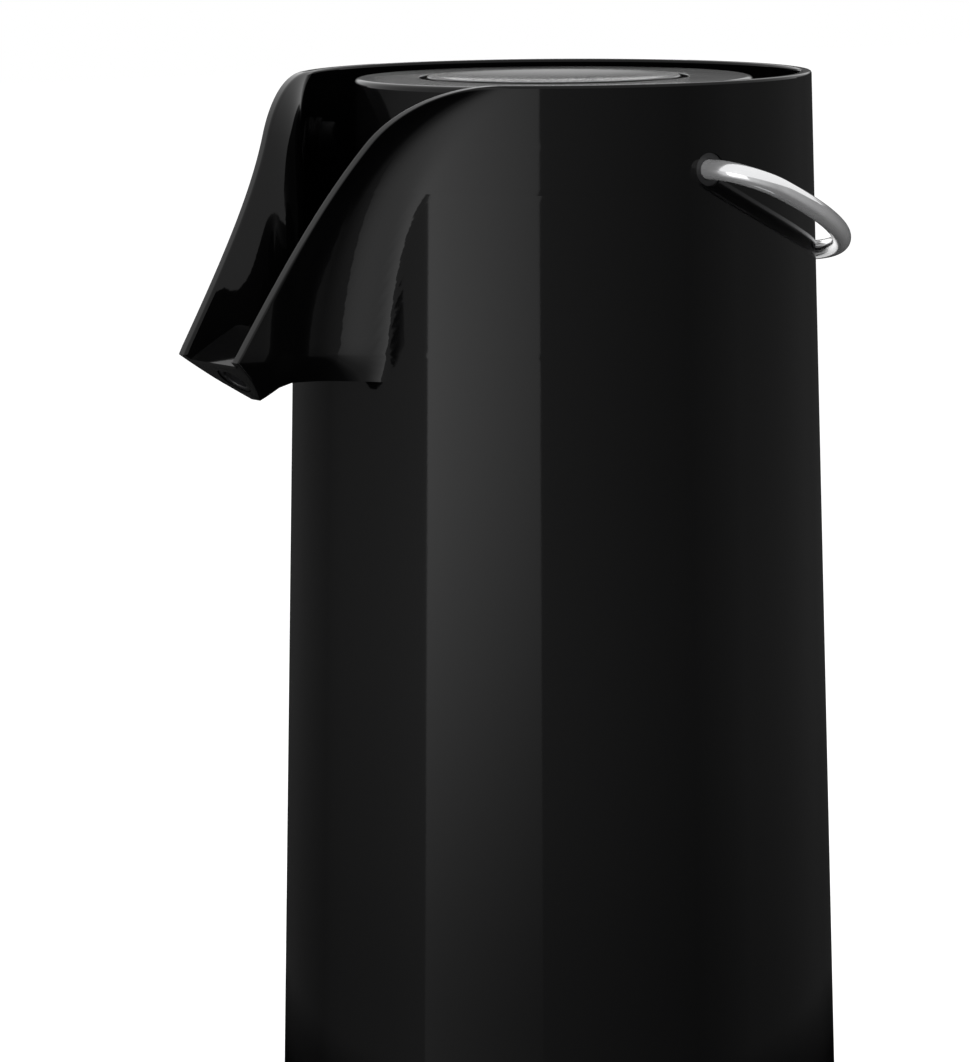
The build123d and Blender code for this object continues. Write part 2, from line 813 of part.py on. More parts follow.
# Stopper core: plugs the neck and holds the check ball, the outlet and the air valve
plug_foot = lip_top - plug_length
plug_shoulder = gasket_top + running_gap
tube_seat = plug_foot + dip_socket
valve_top = core_top - running_gap
valve_under = valve_top - valve_thickness
spring_shut = 2 * valve_wire * (valve_turns + 1)
chamber_floor = valve_under - valve_travel - spring_shut
outlet_height = port_z + seal_thickness * math.tan(slope)
ball_middle = tube_seat + math.sqrt(ball_radius**2 - dip_tube_bore**2) + running_gap
ball_roof = ball_middle + ball_radius + ball_lift + running_gap
seal_ring = neck_bore - running_gap - o_ring_radius
groove_floor = seal_ring - o_ring_radius - seat_gap
groove_middle = plug_foot + o_ring_height
groove_half = o_ring_radius + seat_gap
with BuildPart() as stopper_core:
    revolve(
        turned(
            (0, plug_foot),
            (plug_radius, plug_foot),
            (plug_radius, groove_middle - groove_half),
            (groove_floor, groove_middle - groove_half),
            (groove_floor, groove_middle + groove_half),
            (plug_radius, groove_middle + groove_half),
            (plug_radius, plug_shoulder),
            (collar_bore - running_gap, plug_shoulder),
            (collar_bore - running_gap, core_foot),
            (core_radius, core_foot),
            (core_radius, core_top),
            (valve_chamber_radius, core_top),
            (valve_chamber_radius, chamber_floor),
            (0, chamber_floor),
        ),
        axis=Axis.Z,
    )
    with BuildSketch(Plane.XY.offset(plug_foot)):
        Circle(dip_tube_radius + clip_gap)
    extrude(amount=dip_socket, mode=Mode.SUBTRACT)
    with BuildSketch(Plane.XY.offset(tube_seat)):
        Circle(ball_chamber_radius)
    extrude(amount=ball_roof - tube_seat, mode=Mode.SUBTRACT)
    with BuildSketch(Plane.XY.offset(tube_seat)):
        Circle(riser_radius)
    extrude(amount=outlet_height - tube_seat, mode=Mode.SUBTRACT)
    with BuildSketch(Plane((0, 0, outlet_height), x_dir=(1, 0, 0), z_dir=(0, -1, 0))):
        Circle(tube_bore)
    extrude(amount=core_radius + overcut, mode=Mode.SUBTRACT)
    with BuildSketch(Plane.XY.offset(plug_foot)):
        with Locations((-air_hole_offset, 0), (air_hole_offset, 0)):
            Circle(air_hole_radius)
    extrude(amount=chamber_floor - plug_foot, mode=Mode.SUBTRACT)
    with BuildSketch(Plane.XY.offset(core_top)):
        with PolarLocations(pump_screw_circle, len(base_screw_angles), base_screw_angles[0]):
            Circle(screw_radius + clip_gap)
    extrude(amount=-pump_screw_length, mode=Mode.SUBTRACT)
stopper_core.part.label = "stopper_core"
export_step(stopper_core.part, "parts/stopper_core.step")

with BuildPart() as core_seal:
    with Locations((0, 0, groove_middle)):
        Torus(seal_ring, o_ring_radius)
core_seal.part.label = "core_seal"
export_step(core_seal.part, "parts/core_seal.step")

dip_foot = flask_floor + inner_inset + glass_wall + dip_tube_clearance
with BuildPart() as dip_tube:
    with BuildSketch(Plane.XY.offset(dip_foot)):
        Circle(dip_tube_radius)
        Circle(dip_tube_bore, mode=Mode.SUBTRACT)
    extrude(amount=tube_seat - dip_foot)
    with BuildSketch(Plane.XY.offset(dip_foot)):
        Rectangle(4 * dip_tube_radius, dip_slot)
    extrude(amount=dip_slot_height, mode=Mode.SUBTRACT)
dip_tube.part.label = "dip_tube"
export_step(dip_tube.part, "parts/dip_tube.step")

with BuildPart() as check_ball:
    with Locations((0, 0, ball_middle)):
        Sphere(ball_radius)
check_ball.part.label = "check_ball"
export_step(check_ball.part, "parts/check_ball.step")

# Pump base, with the port that lets pumped air down to the valve
pump_base_radius = upstand_inner - running_gap
with BuildPart() as pump_base:
    revolve(
        turned(
            (air_port_radius, core_top),
            (pump_base_radius, core_top),
            (pump_base_radius, pump_floor),
            (spring_seat_radius, pump_floor),
            (spring_seat_radius, pump_floor + spring_seat_height),
            (air_port_radius, pump_floor + spring_seat_height),
        ),
        axis=Axis.Z,
    )
    with BuildSketch(Plane.XY.offset(core_top)):
        with PolarLocations(pump_screw_circle, len(base_screw_angles), base_screw_angles[0]):
            Circle(screw_radius + clip_gap)
    extrude(amount=pump_base_thickness, mode=Mode.SUBTRACT)
pump_base.part.label = "pump_base"
export_step(pump_base.part, "parts/pump_base.step")

pump_screws = screw_set(base_screw_angles, pump_screw_circle, pump_floor, -pump_screw_length)
pump_screws.label = "pump_screws"
export_step(pump_screws, "parts/pump_screws.step")

with BuildPart() as air_valve:
    revolve(
        turned(
            (0, valve_under),
            (valve_radius, valve_under),
            (valve_radius, valve_top),
            (valve_stem_radius, valve_top),
            (valve_stem_radius, pump_floor + spring_seat_height),
            (0, pump_floor + spring_seat_height),
        ),
        axis=Axis.Z,
    )
air_valve.part.label = "air_valve"
export_step(air_valve.part, "parts/air_valve.step")


def coil(radius, wire, bottom, top, turns):
    """A coil spring standing between two heights, as one tube on pairs of arcs."""
    rise = (top - bottom - 2 * wire) / (4 * turns)
    lean = math.atan2(rise, radius * math.pi / 2)
    # Half of a quarter turn, seen along the radius through its middle
    half = math.pi / 4
    start = Vector(radius * math.cos(half), -radius * math.sin(half), -rise / 2)
    way = Vector(math.sin(half), math.cos(half), math.tan(lean)).normalized()
    low = radius * 0.9
    high = radius * 1.1
    for _ in range(50):
        middle = (low + high) / 2
        chord = (Vector(middle, 0, 0) - start).normalized()
        if 2 * way.dot(chord) * chord.X > way.X:
            high = middle
        else:
            low = middle
    with BuildPart() as spring:
        with BuildLine() as path:
            for quarter in range(4 * turns):
                turn = Location(
                    (0, 0, bottom + wire + rise * (quarter + 0.5)), (0, 0, 45 + 90 * quarter)
                )
                ends = ((start.X, start.Y, start.Z), (middle, 0, 0), (start.X, -start.Y, -start.Z))
                points = [(turn * Location(end)).position for end in ends]
                heading = Vector(*way).rotate(Axis.Z, 45 + 90 * quarter)
                first = TangentArc(points[0], points[1], tangent=heading)
                TangentArc(points[1], points[2], tangent=first % 1)
        with BuildSketch(Plane(path.line @ 0, z_dir=path.line % 0)):
            Circle(wire)
        sweep()
    return spring.part


valve_spring = coil(valve_spring_radius, valve_wire, chamber_floor, valve_under, valve_turns)
valve_spring.label = "valve_spring"
export_step(valve_spring, "parts/valve_spring.step")

# Pump head: a deep cap that turns on the collar, with the ring that holds the pump down
head_inner = head_radius - head_wall
guide_inner = button_radius + running_gap
with BuildPart() as head_cap:
    revolve(
        turned(
            (head_inner, skirt_end),
            (head_radius, skirt_end),
            (head_radius, head_height),
            (groove_radius, head_height),
            (groove_radius, head_height - groove_depth),
            (guide_inner, head_height - groove_depth),
            (guide_inner, lock_flange_top + guide_end),
            (guide_inner + guide_wall, lock_flange_top + guide_end),
            (guide_inner + guide_wall, head_height - head_top),
            (head_inner, head_height - head_top),
        ),
        axis=Axis.Z,
    )
    top_edges = head_cap.faces().sort_by(Axis.Z)[-1].edges().sort_by(SortBy.RADIUS)
    fillet(top_edges[-1], head_round)
head_cap.part.label = "head_cap"
export_step(head_cap.part, "parts/head_cap.step")

lock_ring_outer = head_inner - seat_gap
with BuildPart() as lock_ring:
    revolve(
        turned(
            (collar_upstand_radius + running_gap, skirt_end),
            (lock_ring_outer, skirt_end),
            (lock_ring_outer, lock_flange_top),
            (lock_flange_bore, lock_flange_top),
            (lock_flange_bore, lock_flange_bottom),
            (collar_upstand_radius + running_gap, lock_flange_bottom),
        ),
        axis=Axis.Z,
    )
lock_ring.part.label = "lock_ring"
export_step(lock_ring.part, "parts/lock_ring.step")

# Button, slightly dished, with the plate that squeezes the bellows
dish_reach = button_radius - button_border
dish_middle = (dish_reach / 2, button_height - 3 / 4 * button_dish)
with BuildPart() as pump_button:
    with BuildSketch(Plane.XZ):
        with BuildLine():
            ThreePointArc((0, button_height - button_dish), dish_middle, (dish_reach, button_height))
            Polyline(
                (dish_reach, button_height),
                (button_radius, button_height),
                (button_radius, button_foot),
                (button_radius - button_skirt_wall, button_foot),
                (button_radius - button_skirt_wall, button_under),
                (button_hub_radius, button_under),
                (button_hub_radius, plate_top),
                (0, plate_top),
                (0, button_height - button_dish),
            )
        make_face()
    revolve(axis=Axis.Z)
    rim_edge = pump_button.edges().filter_by(GeomType.CIRCLE).group_by(Axis.Z)[-1]
    fillet(rim_edge.sort_by(SortBy.RADIUS)[-1], button_round)
pump_button.part.label = "pump_button"
export_step(pump_button.part, "parts/pump_button.step")

with BuildPart() as bellows_plate:
    with BuildSketch(Plane.XY.offset(plate_bottom)):
        Circle(bellows_radius)
    extrude(amount=bellows_plate_thickness)
bellows_plate.part.label = "bellows_plate"
export_step(bellows_plate.part, "parts/bellows_plate.step")

fold_start = pump_floor + bellows_cuff
fold_rise = (plate_bottom - bellows_cuff - fold_start) / (2 * bellows_folds)
fold_heights = [fold_start + fold_rise * step for step in range(2 * bellows_folds + 1)]
fold_radii = [bellows_radius - bellows_fold * ((step + 1) % 2) for step in range(2 * bellows_folds + 1)]
fold_inside = bellows_radius - bellows_fold - bellows_wall
with BuildPart() as bellows:
    revolve(
        turned(
            (fold_inside, pump_floor),
            (bellows_radius, pump_floor),
            (bellows_radius, fold_start),
            *zip(fold_radii, fold_heights),
            (bellows_radius, plate_bottom - bellows_cuff),
            (bellows_radius, plate_bottom),
            (fold_inside, plate_bottom),
            *[
                (radius - bellows_wall, height)
                for radius, height in reversed(list(zip(fold_radii, fold_heights)))
            ],
        ),
        axis=Axis.Z,
    )
bellows.part.label = "bellows"
export_step(bellows.part, "parts/bellows.step")

return_spring = coil(spring_radius, spring_wire, pump_floor, plate_bottom, spring_turns)
return_spring.label = "return_spring"
export_step(return_spring, "parts/return_spring.step")


def least_gap(radius, wire, bottom, top, turns):
    """Least gap between neighbouring curls of a coil, measured on points of its middle line."""
    steps = 48
    rise = (top - bottom - 2 * wire) / turns
    points = [
        Vector(
            radius * math.cos(2 * math.pi * step / steps),
            radius * math.sin(2 * math.pi * step / steps),
            rise * step / steps,
        )
        for step in range(steps * turns + 1)
    ]
    apart = [(points[0] - point).length for point in points[steps // 2 :]]
    return min(apart) - 2 * wire


print("least gap of the return spring's curls", round(least_gap(
    spring_radius, spring_wire, pump_floor, plate_bottom, spring_turns), 2))
print("least gap of the valve spring's curls", round(least_gap(
    valve_spring_radius, valve_wire, chamber_floor, valve_under, valve_turns), 2))
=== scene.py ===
"""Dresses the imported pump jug: its finishes, smooth shell, turned head, steel bail and soft pump parts.

The frame gives every piece in metres. Sizes in the classes below are in millimetres and degrees,
with Z up, the spout towards -Y and the carrying bail hanging at +Y. A place in the side view is
given as forward, counted along -Y, and height.
"""

import json
import logging
import math
from collections.abc import Callable
from dataclasses import dataclass
from enum import Enum

import bmesh
import bpy
import numpy as np
from mathutils import Matrix, Vector
from mathutils.geometry import delaunay_2d_cdt


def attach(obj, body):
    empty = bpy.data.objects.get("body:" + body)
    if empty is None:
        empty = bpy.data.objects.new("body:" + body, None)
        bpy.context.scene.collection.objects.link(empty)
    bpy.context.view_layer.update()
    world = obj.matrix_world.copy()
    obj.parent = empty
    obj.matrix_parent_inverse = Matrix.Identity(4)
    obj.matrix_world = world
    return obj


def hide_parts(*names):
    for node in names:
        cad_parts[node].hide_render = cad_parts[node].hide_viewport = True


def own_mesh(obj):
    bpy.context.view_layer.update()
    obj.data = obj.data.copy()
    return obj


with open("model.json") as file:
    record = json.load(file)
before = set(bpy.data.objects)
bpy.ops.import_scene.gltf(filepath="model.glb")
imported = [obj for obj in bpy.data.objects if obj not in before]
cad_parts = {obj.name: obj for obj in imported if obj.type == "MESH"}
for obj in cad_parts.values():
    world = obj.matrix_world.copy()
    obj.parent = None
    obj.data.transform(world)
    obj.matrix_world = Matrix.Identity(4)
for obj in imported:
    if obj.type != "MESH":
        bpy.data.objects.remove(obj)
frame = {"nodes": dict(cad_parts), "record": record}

log = logging.getLogger("jug")
MM = 0.001
MERGE = 0.000002
SLIVER = 0.0000005
SEAM = 1e-4
FACE_WEIGHT = 80
FLIP = np.array([-1, 1, 1])
ACROSS = np.array([1.0, 0.0, 0.0])
ALONG = np.array([0.0, 1.0, 0.0])
WHITE = (1.0, 1.0, 1.0, 1.0)


class Side(Enum):
    """The two sides of the jug, as the sign of X."""

    LEFT = -1
    RIGHT = 1


# Objects and node trees


def add_object(name: str, data: bpy.types.ID) -> bpy.types.Object:
    """Makes an object and puts it in the scene.

    Args:
        name: Name of the object.
        data: Mesh, lamp or camera that it holds.

    Returns:
        The new object.
    """
    item = bpy.data.objects.new(name, data)
    bpy.context.scene.collection.objects.link(item)
    return item


def fill(node: bpy.types.Node, values: dict) -> bpy.types.Node:
    """Sets inputs of a node that nothing is linked to.

    Args:
        node: The node.
        values: Value of each input, by its name or number.

    Returns:
        The same node.
    """
    for label, value in values.items():
        node.inputs[label].default_value = value
    return node


def join(tree: bpy.types.NodeTree, *joins: tuple) -> None:
    """Links nodes of a tree.

    Args:
        tree: The tree.
        joins: Source node, its output, target node and its input, for each link.
    """
    for source, output, target, entry in joins:
        tree.links.new(source.outputs[output], target.inputs[entry])


def bare_tree(owner: bpy.types.ID) -> bpy.types.NodeTree:
    """Gives a material or world an empty node tree.

    Args:
        owner: The material or world.

    Returns:
        Its tree.
    """
    owner.use_nodes = True
    owner.node_tree.nodes.clear()
    return owner.node_tree


def new_group(
    name: str, inputs: list[tuple], outputs: list[tuple[str, str]], kind: str = "ShaderNodeTree"
) -> tuple[bpy.types.NodeTree, bpy.types.Node, bpy.types.Node]:
    """Makes an empty node group with named sockets.

    Args:
        name: Name of the group.
        inputs: Name, socket type and default of each input.
        outputs: Name and socket type of each output.
        kind: Type of the tree.

    Returns:
        The group, its input node and its output node.
    """
    group = bpy.data.node_groups.new(name, kind)
    for label, socket_type, value in inputs:
        socket = group.interface.new_socket(label, in_out="INPUT", socket_type=socket_type)
        if value is not None:
            socket.default_value = value
    for label, socket_type in outputs:
        group.interface.new_socket(label, in_out="OUTPUT", socket_type=socket_type)
    return group, group.nodes.new("NodeGroupInput"), group.nodes.new("NodeGroupOutput")


# Finishes


def make_ripple_group() -> bpy.types.ShaderNodeTree:
    """Builds the group that gives moulded plastic its faint ripple and fine wipe marks.

    Returns:
        A group that puts out a normal and a roughness.
    """
    group, entry, leave = new_group(
        "moulded_surface",
        [
            ("Ripple Size", "NodeSocketFloat", 40.0),
            ("Ripple Height", "NodeSocketFloat", 0.0002),
            ("Grain Size", "NodeSocketFloat", 900.0),
            ("Grain Height", "NodeSocketFloat", 0.00001),
            ("Roughness Low", "NodeSocketFloat", 0.04),
            ("Roughness High", "NodeSocketFloat", 0.08),
        ],
        [("Normal", "NodeSocketVector"), ("Roughness", "NodeSocketFloat")],
    )
    new = group.nodes.new
    place = new("ShaderNodeTexCoord")
    ripple = fill(new("ShaderNodeTexNoise"), {"Detail": 1.0})
    grain = fill(new("ShaderNodeTexNoise"), {"Detail": 2.0})
    wipe = fill(new("ShaderNodeTexNoise"), {"Scale": 22.0, "Detail": 6.0})
    first, second = new("ShaderNodeBump"), new("ShaderNodeBump")
    rough = fill(new("ShaderNodeMapRange"), {"From Min": 0.35, "From Max": 0.65})
    join(
        group,
        (place, "Object", ripple, "Vector"),
        (place, "Object", grain, "Vector"),
        (place, "Object", wipe, "Vector"),
        (entry, "Ripple Size", ripple, "Scale"),
        (entry, "Grain Size", grain, "Scale"),
        (ripple, "Fac", first, "Height"),
        (entry, "Ripple Height", first, "Distance"),
        (grain, "Fac", second, "Height"),
        (entry, "Grain Height", second, "Distance"),
        (first, "Normal", second, "Normal"),
        (wipe, "Fac", rough, "Value"),
        (entry, "Roughness Low", rough, "To Min"),
        (entry, "Roughness High", rough, "To Max"),
        (second, "Normal", leave, "Normal"),
        (rough, "Result", leave, "Roughness"),
    )
    return group


def make_drift_group() -> bpy.types.ShaderNodeTree:
    """Builds the group that varies a colour a little over a surface.

    Returns:
        A group that puts out a colour.
    """
    group, entry, leave = new_group(
        "colour_drift",
        [
            ("Colour", "NodeSocketColor", None),
            ("Drift Colour", "NodeSocketColor", None),
            ("Size", "NodeSocketFloat", 30.0),
        ],
        [("Colour", "NodeSocketColor")],
    )
    place = group.nodes.new("ShaderNodeTexCoord")
    noise = fill(group.nodes.new("ShaderNodeTexNoise"), {"Detail": 4.0})
    mix = group.nodes.new("ShaderNodeMix")
    mix.data_type = "RGBA"
    join(
        group,
        (place, "Object", noise, "Vector"),
        (entry, "Size", noise, "Scale"),
        (noise, "Fac", mix, "Factor"),
        (entry, "Colour", mix, "A"),
        (entry, "Drift Colour", mix, "B"),
        (mix, "Result", leave, "Colour"),
    )
    return group


@dataclass(frozen=True)
class Finish:
    """A finish of one of the jug's materials, with its colour, sheen and small relief.

    Attributes:
        name: Slot of the record that it dresses.
        colour: Base colour.
        drift: Colour towards which it varies.
        drift_size: How fine that variation is.
        metallic: Share of metal.
        roughness: Least and greatest roughness.
        ripple: How fine the long ripple is, and its height in metres.
        grain: How fine the grain is, and its height in metres.
        ior: Index of refraction.
        transmission: Share of light that passes.
        sheen_level: Strength of the reflection of what isn't metal.
    """

    name: str
    colour: tuple[float, float, float]
    drift: tuple[float, float, float]
    drift_size: float = 30.0
    metallic: float = 0.0
    roughness: tuple[float, float] = (0.05, 0.08)
    ripple: tuple[float, float] = (40.0, 0.0)
    grain: tuple[float, float] = (900.0, 0.0)
    ior: float = 1.5
    transmission: float = 0.0
    sheen_level: float = 0.5

    def build(
        self, ripple_group: bpy.types.NodeTree, drift_group: bpy.types.NodeTree
    ) -> bpy.types.Material:
        """Makes the material.

        Args:
            ripple_group: Shared group for relief and roughness.
            drift_group: Shared group for the drift of colour.

        Returns:
            The new material.
        """
        material = bpy.data.materials.new(self.name)
        material.use_nodes = True
        tree = material.node_tree
        shader = fill(tree.nodes["Principled BSDF"], {
            "Metallic": self.metallic, "IOR": self.ior, "Specular IOR Level": self.sheen_level,
            "Transmission Weight": self.transmission,
        })
        surface, drift = tree.nodes.new("ShaderNodeGroup"), tree.nodes.new("ShaderNodeGroup")
        surface.node_tree, drift.node_tree = ripple_group, drift_group
        fill(surface, {
            "Ripple Size": self.ripple[0], "Ripple Height": self.ripple[1],
            "Grain Size": self.grain[0], "Grain Height": self.grain[1],
            "Roughness Low": self.roughness[0], "Roughness High": self.roughness[1],
        })
        fill(drift, {
            "Colour": (*self.colour, 1.0), "Drift Colour": (*self.drift, 1.0), "Size": self.drift_size,
        })
        join(
            tree,
            (surface, "Normal", shader, "Normal"),
            (surface, "Roughness", shader, "Roughness"),
            (drift, "Colour", shader, "Base Color"),
        )
        return material


GLOSS_BLACK = Finish(
    "shell_black", (0.0012, 0.0012, 0.0013), (0.0018, 0.0018, 0.0019), 14.0,
    roughness=(0.045, 0.065), ripple=(16.0, 0.00005), grain=(1500.0, 0.000002), sheen_level=0.2,
)
HEAD_BLACK = Finish(
    "head_black", (0.0016, 0.0016, 0.0017), (0.0024, 0.0024, 0.0025), 18.0,
    roughness=(0.07, 0.1), ripple=(25.0, 0.00004), grain=(1500.0, 0.000004), sheen_level=0.25,
)
BUTTON_BLACK = Finish(
    "button_black", (0.0016, 0.0016, 0.0017), (0.0024, 0.0024, 0.0025), 18.0,
    roughness=(0.09, 0.13), ripple=(25.0, 0.00004), grain=(1500.0, 0.000004), sheen_level=0.25,
)
BASE_BLACK = Finish(
    "base_black", (0.011, 0.011, 0.012), (0.015, 0.015, 0.016), 60.0,
    roughness=(0.38, 0.5), grain=(1200.0, 0.00003),
)
INNER_BLACK = Finish(
    "inner_black", (0.008, 0.008, 0.009), (0.011, 0.011, 0.012), 60.0,
    roughness=(0.3, 0.42), grain=(1200.0, 0.00003),
)
WHITE_PLASTIC = Finish(
    "white_plastic", (0.68, 0.67, 0.64), (0.74, 0.73, 0.71), 40.0,
    roughness=(0.3, 0.4), grain=(800.0, 0.00002),
)
BRIGHT_STEEL = Finish(
    "handle_steel", (0.84, 0.84, 0.85), (0.9, 0.9, 0.91), 200.0, metallic=0.72,
    roughness=(0.1, 0.16), ripple=(60.0, 0.00002), grain=(2500.0, 0.000003),
)
PLAIN_STEEL = Finish(
    "steel", (0.5, 0.5, 0.5), (0.6, 0.6, 0.6), 300.0, metallic=1.0,
    roughness=(0.22, 0.32), grain=(2000.0, 0.00001),
)
BLACK_RUBBER = Finish(
    "rubber_black", (0.012, 0.012, 0.012), (0.02, 0.02, 0.02), 120.0,
    roughness=(0.6, 0.75), grain=(900.0, 0.00006),
)
SILICONE = Finish(
    "silicone", (0.62, 0.61, 0.58), (0.7, 0.69, 0.66), 50.0,
    roughness=(0.42, 0.52), grain=(900.0, 0.00003),
)
FLASK_GLASS = Finish(
    "flask_glass", (0.86, 0.88, 0.88), (0.92, 0.93, 0.93), 20.0,
    roughness=(0.02, 0.04), ripple=(20.0, 0.00005), transmission=0.9,
)

class Finishes:
    """All the finishes, built once and handed to nodes and pieces by slot."""

    def __init__(self) -> None:
        """Builds the shared groups and every material."""
        ripple = make_ripple_group()
        drift = make_drift_group()
        self.by_slot: dict[str, bpy.types.Material] = {
            finish.name: finish.build(ripple, drift)
            for finish in (
                GLOSS_BLACK, HEAD_BLACK, BUTTON_BLACK, BASE_BLACK, INNER_BLACK, WHITE_PLASTIC,
                BRIGHT_STEEL, PLAIN_STEEL, BLACK_RUBBER, SILICONE, FLASK_GLASS,
            )
        }

    def dress(self, piece: bpy.types.Object, slot: str) -> None:
        """Gives a piece the material of a slot, in place of what it had.

        Args:
            piece: Mesh object to dress.
            slot: Name of the record's material slot.
        """
        piece.data.materials.clear()
        piece.data.materials.append(self.by_slot[slot])

    def dress_nodes(self) -> None:
        """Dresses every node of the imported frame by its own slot."""
        for entry in frame["record"]["subparts"]:
            self.dress(frame["nodes"][entry["node"]], entry["material_slot"])
            log.info("node %s dressed in %s", entry["node"], entry["material_slot"])


# Meshes


def smooth_faces(mesh: bpy.types.Mesh, sharp: float) -> None:
    """Shades a mesh smooth but for its sharp edges.

    Args:
        mesh: The mesh.
        sharp: Angle in degrees past which an edge stays sharp.
    """
    mesh.polygons.foreach_set("use_smooth", [True] * len(mesh.polygons))
    mesh.set_sharp_from_angle(angle=math.radians(sharp))


def mend(
    mesh: bpy.types.Mesh, merge: bool = False, slivers: bool = False, normals: bool = False
) -> None:
    """Works a mesh over in place.

    Args:
        mesh: The mesh.
        merge: Merges points that lie together.
        slivers: Dissolves faces and edges without size.
        normals: Turns all faces outward.
    """
    shape = bmesh.new()
    shape.from_mesh(mesh)
    if merge:
        bmesh.ops.remove_doubles(shape, verts=shape.verts, dist=MERGE)
    if slivers:
        bmesh.ops.dissolve_degenerate(shape, edges=shape.edges, dist=SLIVER)
    if normals:
        bmesh.ops.recalc_face_normals(shape, faces=shape.faces)
    shape.to_mesh(mesh)
    shape.free()


def finish_mesh(
    name: str, points: np.ndarray, faces: list[tuple[int, ...]], sharp: float = 32.0
) -> bpy.types.Object:
    """Makes an object of a closed mesh, with merged seams, outward normals and smooth shading.

    Args:
        name: Name of the object.
        points: Points in millimetres.
        faces: Point indices of each face.
        sharp: Angle in degrees past which an edge stays sharp.

    Returns:
        The new object, in metres.
    """
    mesh = bpy.data.meshes.new(name)
    mesh.from_pydata((np.asarray(points) * MM).tolist(), [], faces)
    mend(mesh, merge=True, slivers=True, normals=True)
    smooth_faces(mesh, sharp)
    piece = add_object(name, mesh)
    weigh = piece.modifiers.new("weighted", "WEIGHTED_NORMAL")
    weigh.keep_sharp = True
    weigh.weight = FACE_WEIGHT
    return settle(piece)


def settle(piece: bpy.types.Object) -> bpy.types.Object:
    """Turns a piece with modifiers into a plain mesh at the origin.

    Args:
        piece: Object whose modifiers are to be worked in.

    Returns:
        The same object, with a plain mesh and no modifiers.
    """
    bpy.context.view_layer.update()
    graph = bpy.context.evaluated_depsgraph_get()
    worked = bpy.data.meshes.new_from_object(
        piece.evaluated_get(graph), preserve_all_data_layers=True, depsgraph=graph
    )
    piece.modifiers.clear()
    piece.data = worked
    return piece


def report_open_edges(piece: bpy.types.Object) -> None:
    """Logs how many triangles a piece has and how many of its edges are open.

    Args:
        piece: The finished piece.
    """
    shape = bmesh.new()
    shape.from_mesh(piece.data)
    loose = sum(1 for edge in shape.edges if len(edge.link_faces) != 2)
    triangles = sum(len(face.verts) - 2 for face in shape.faces)
    shape.free()
    log.info("piece %s: %d triangles, %d open edges", piece.name, triangles, loose)


def inside(point: Vector, loop: list[Vector]) -> bool:
    """Tells whether a flat point lies inside a closed loop.

    Args:
        point: The point.
        loop: Corners of the loop.

    Returns:
        True if it lies inside.
    """
    odd = False
    for k, here in enumerate(loop):
        there = loop[k - 1]
        if (here.y > point.y) != (there.y > point.y):
            if point.x < (there.x - here.x) * (point.y - here.y) / (there.y - here.y) + here.x:
                odd = not odd
    return odd


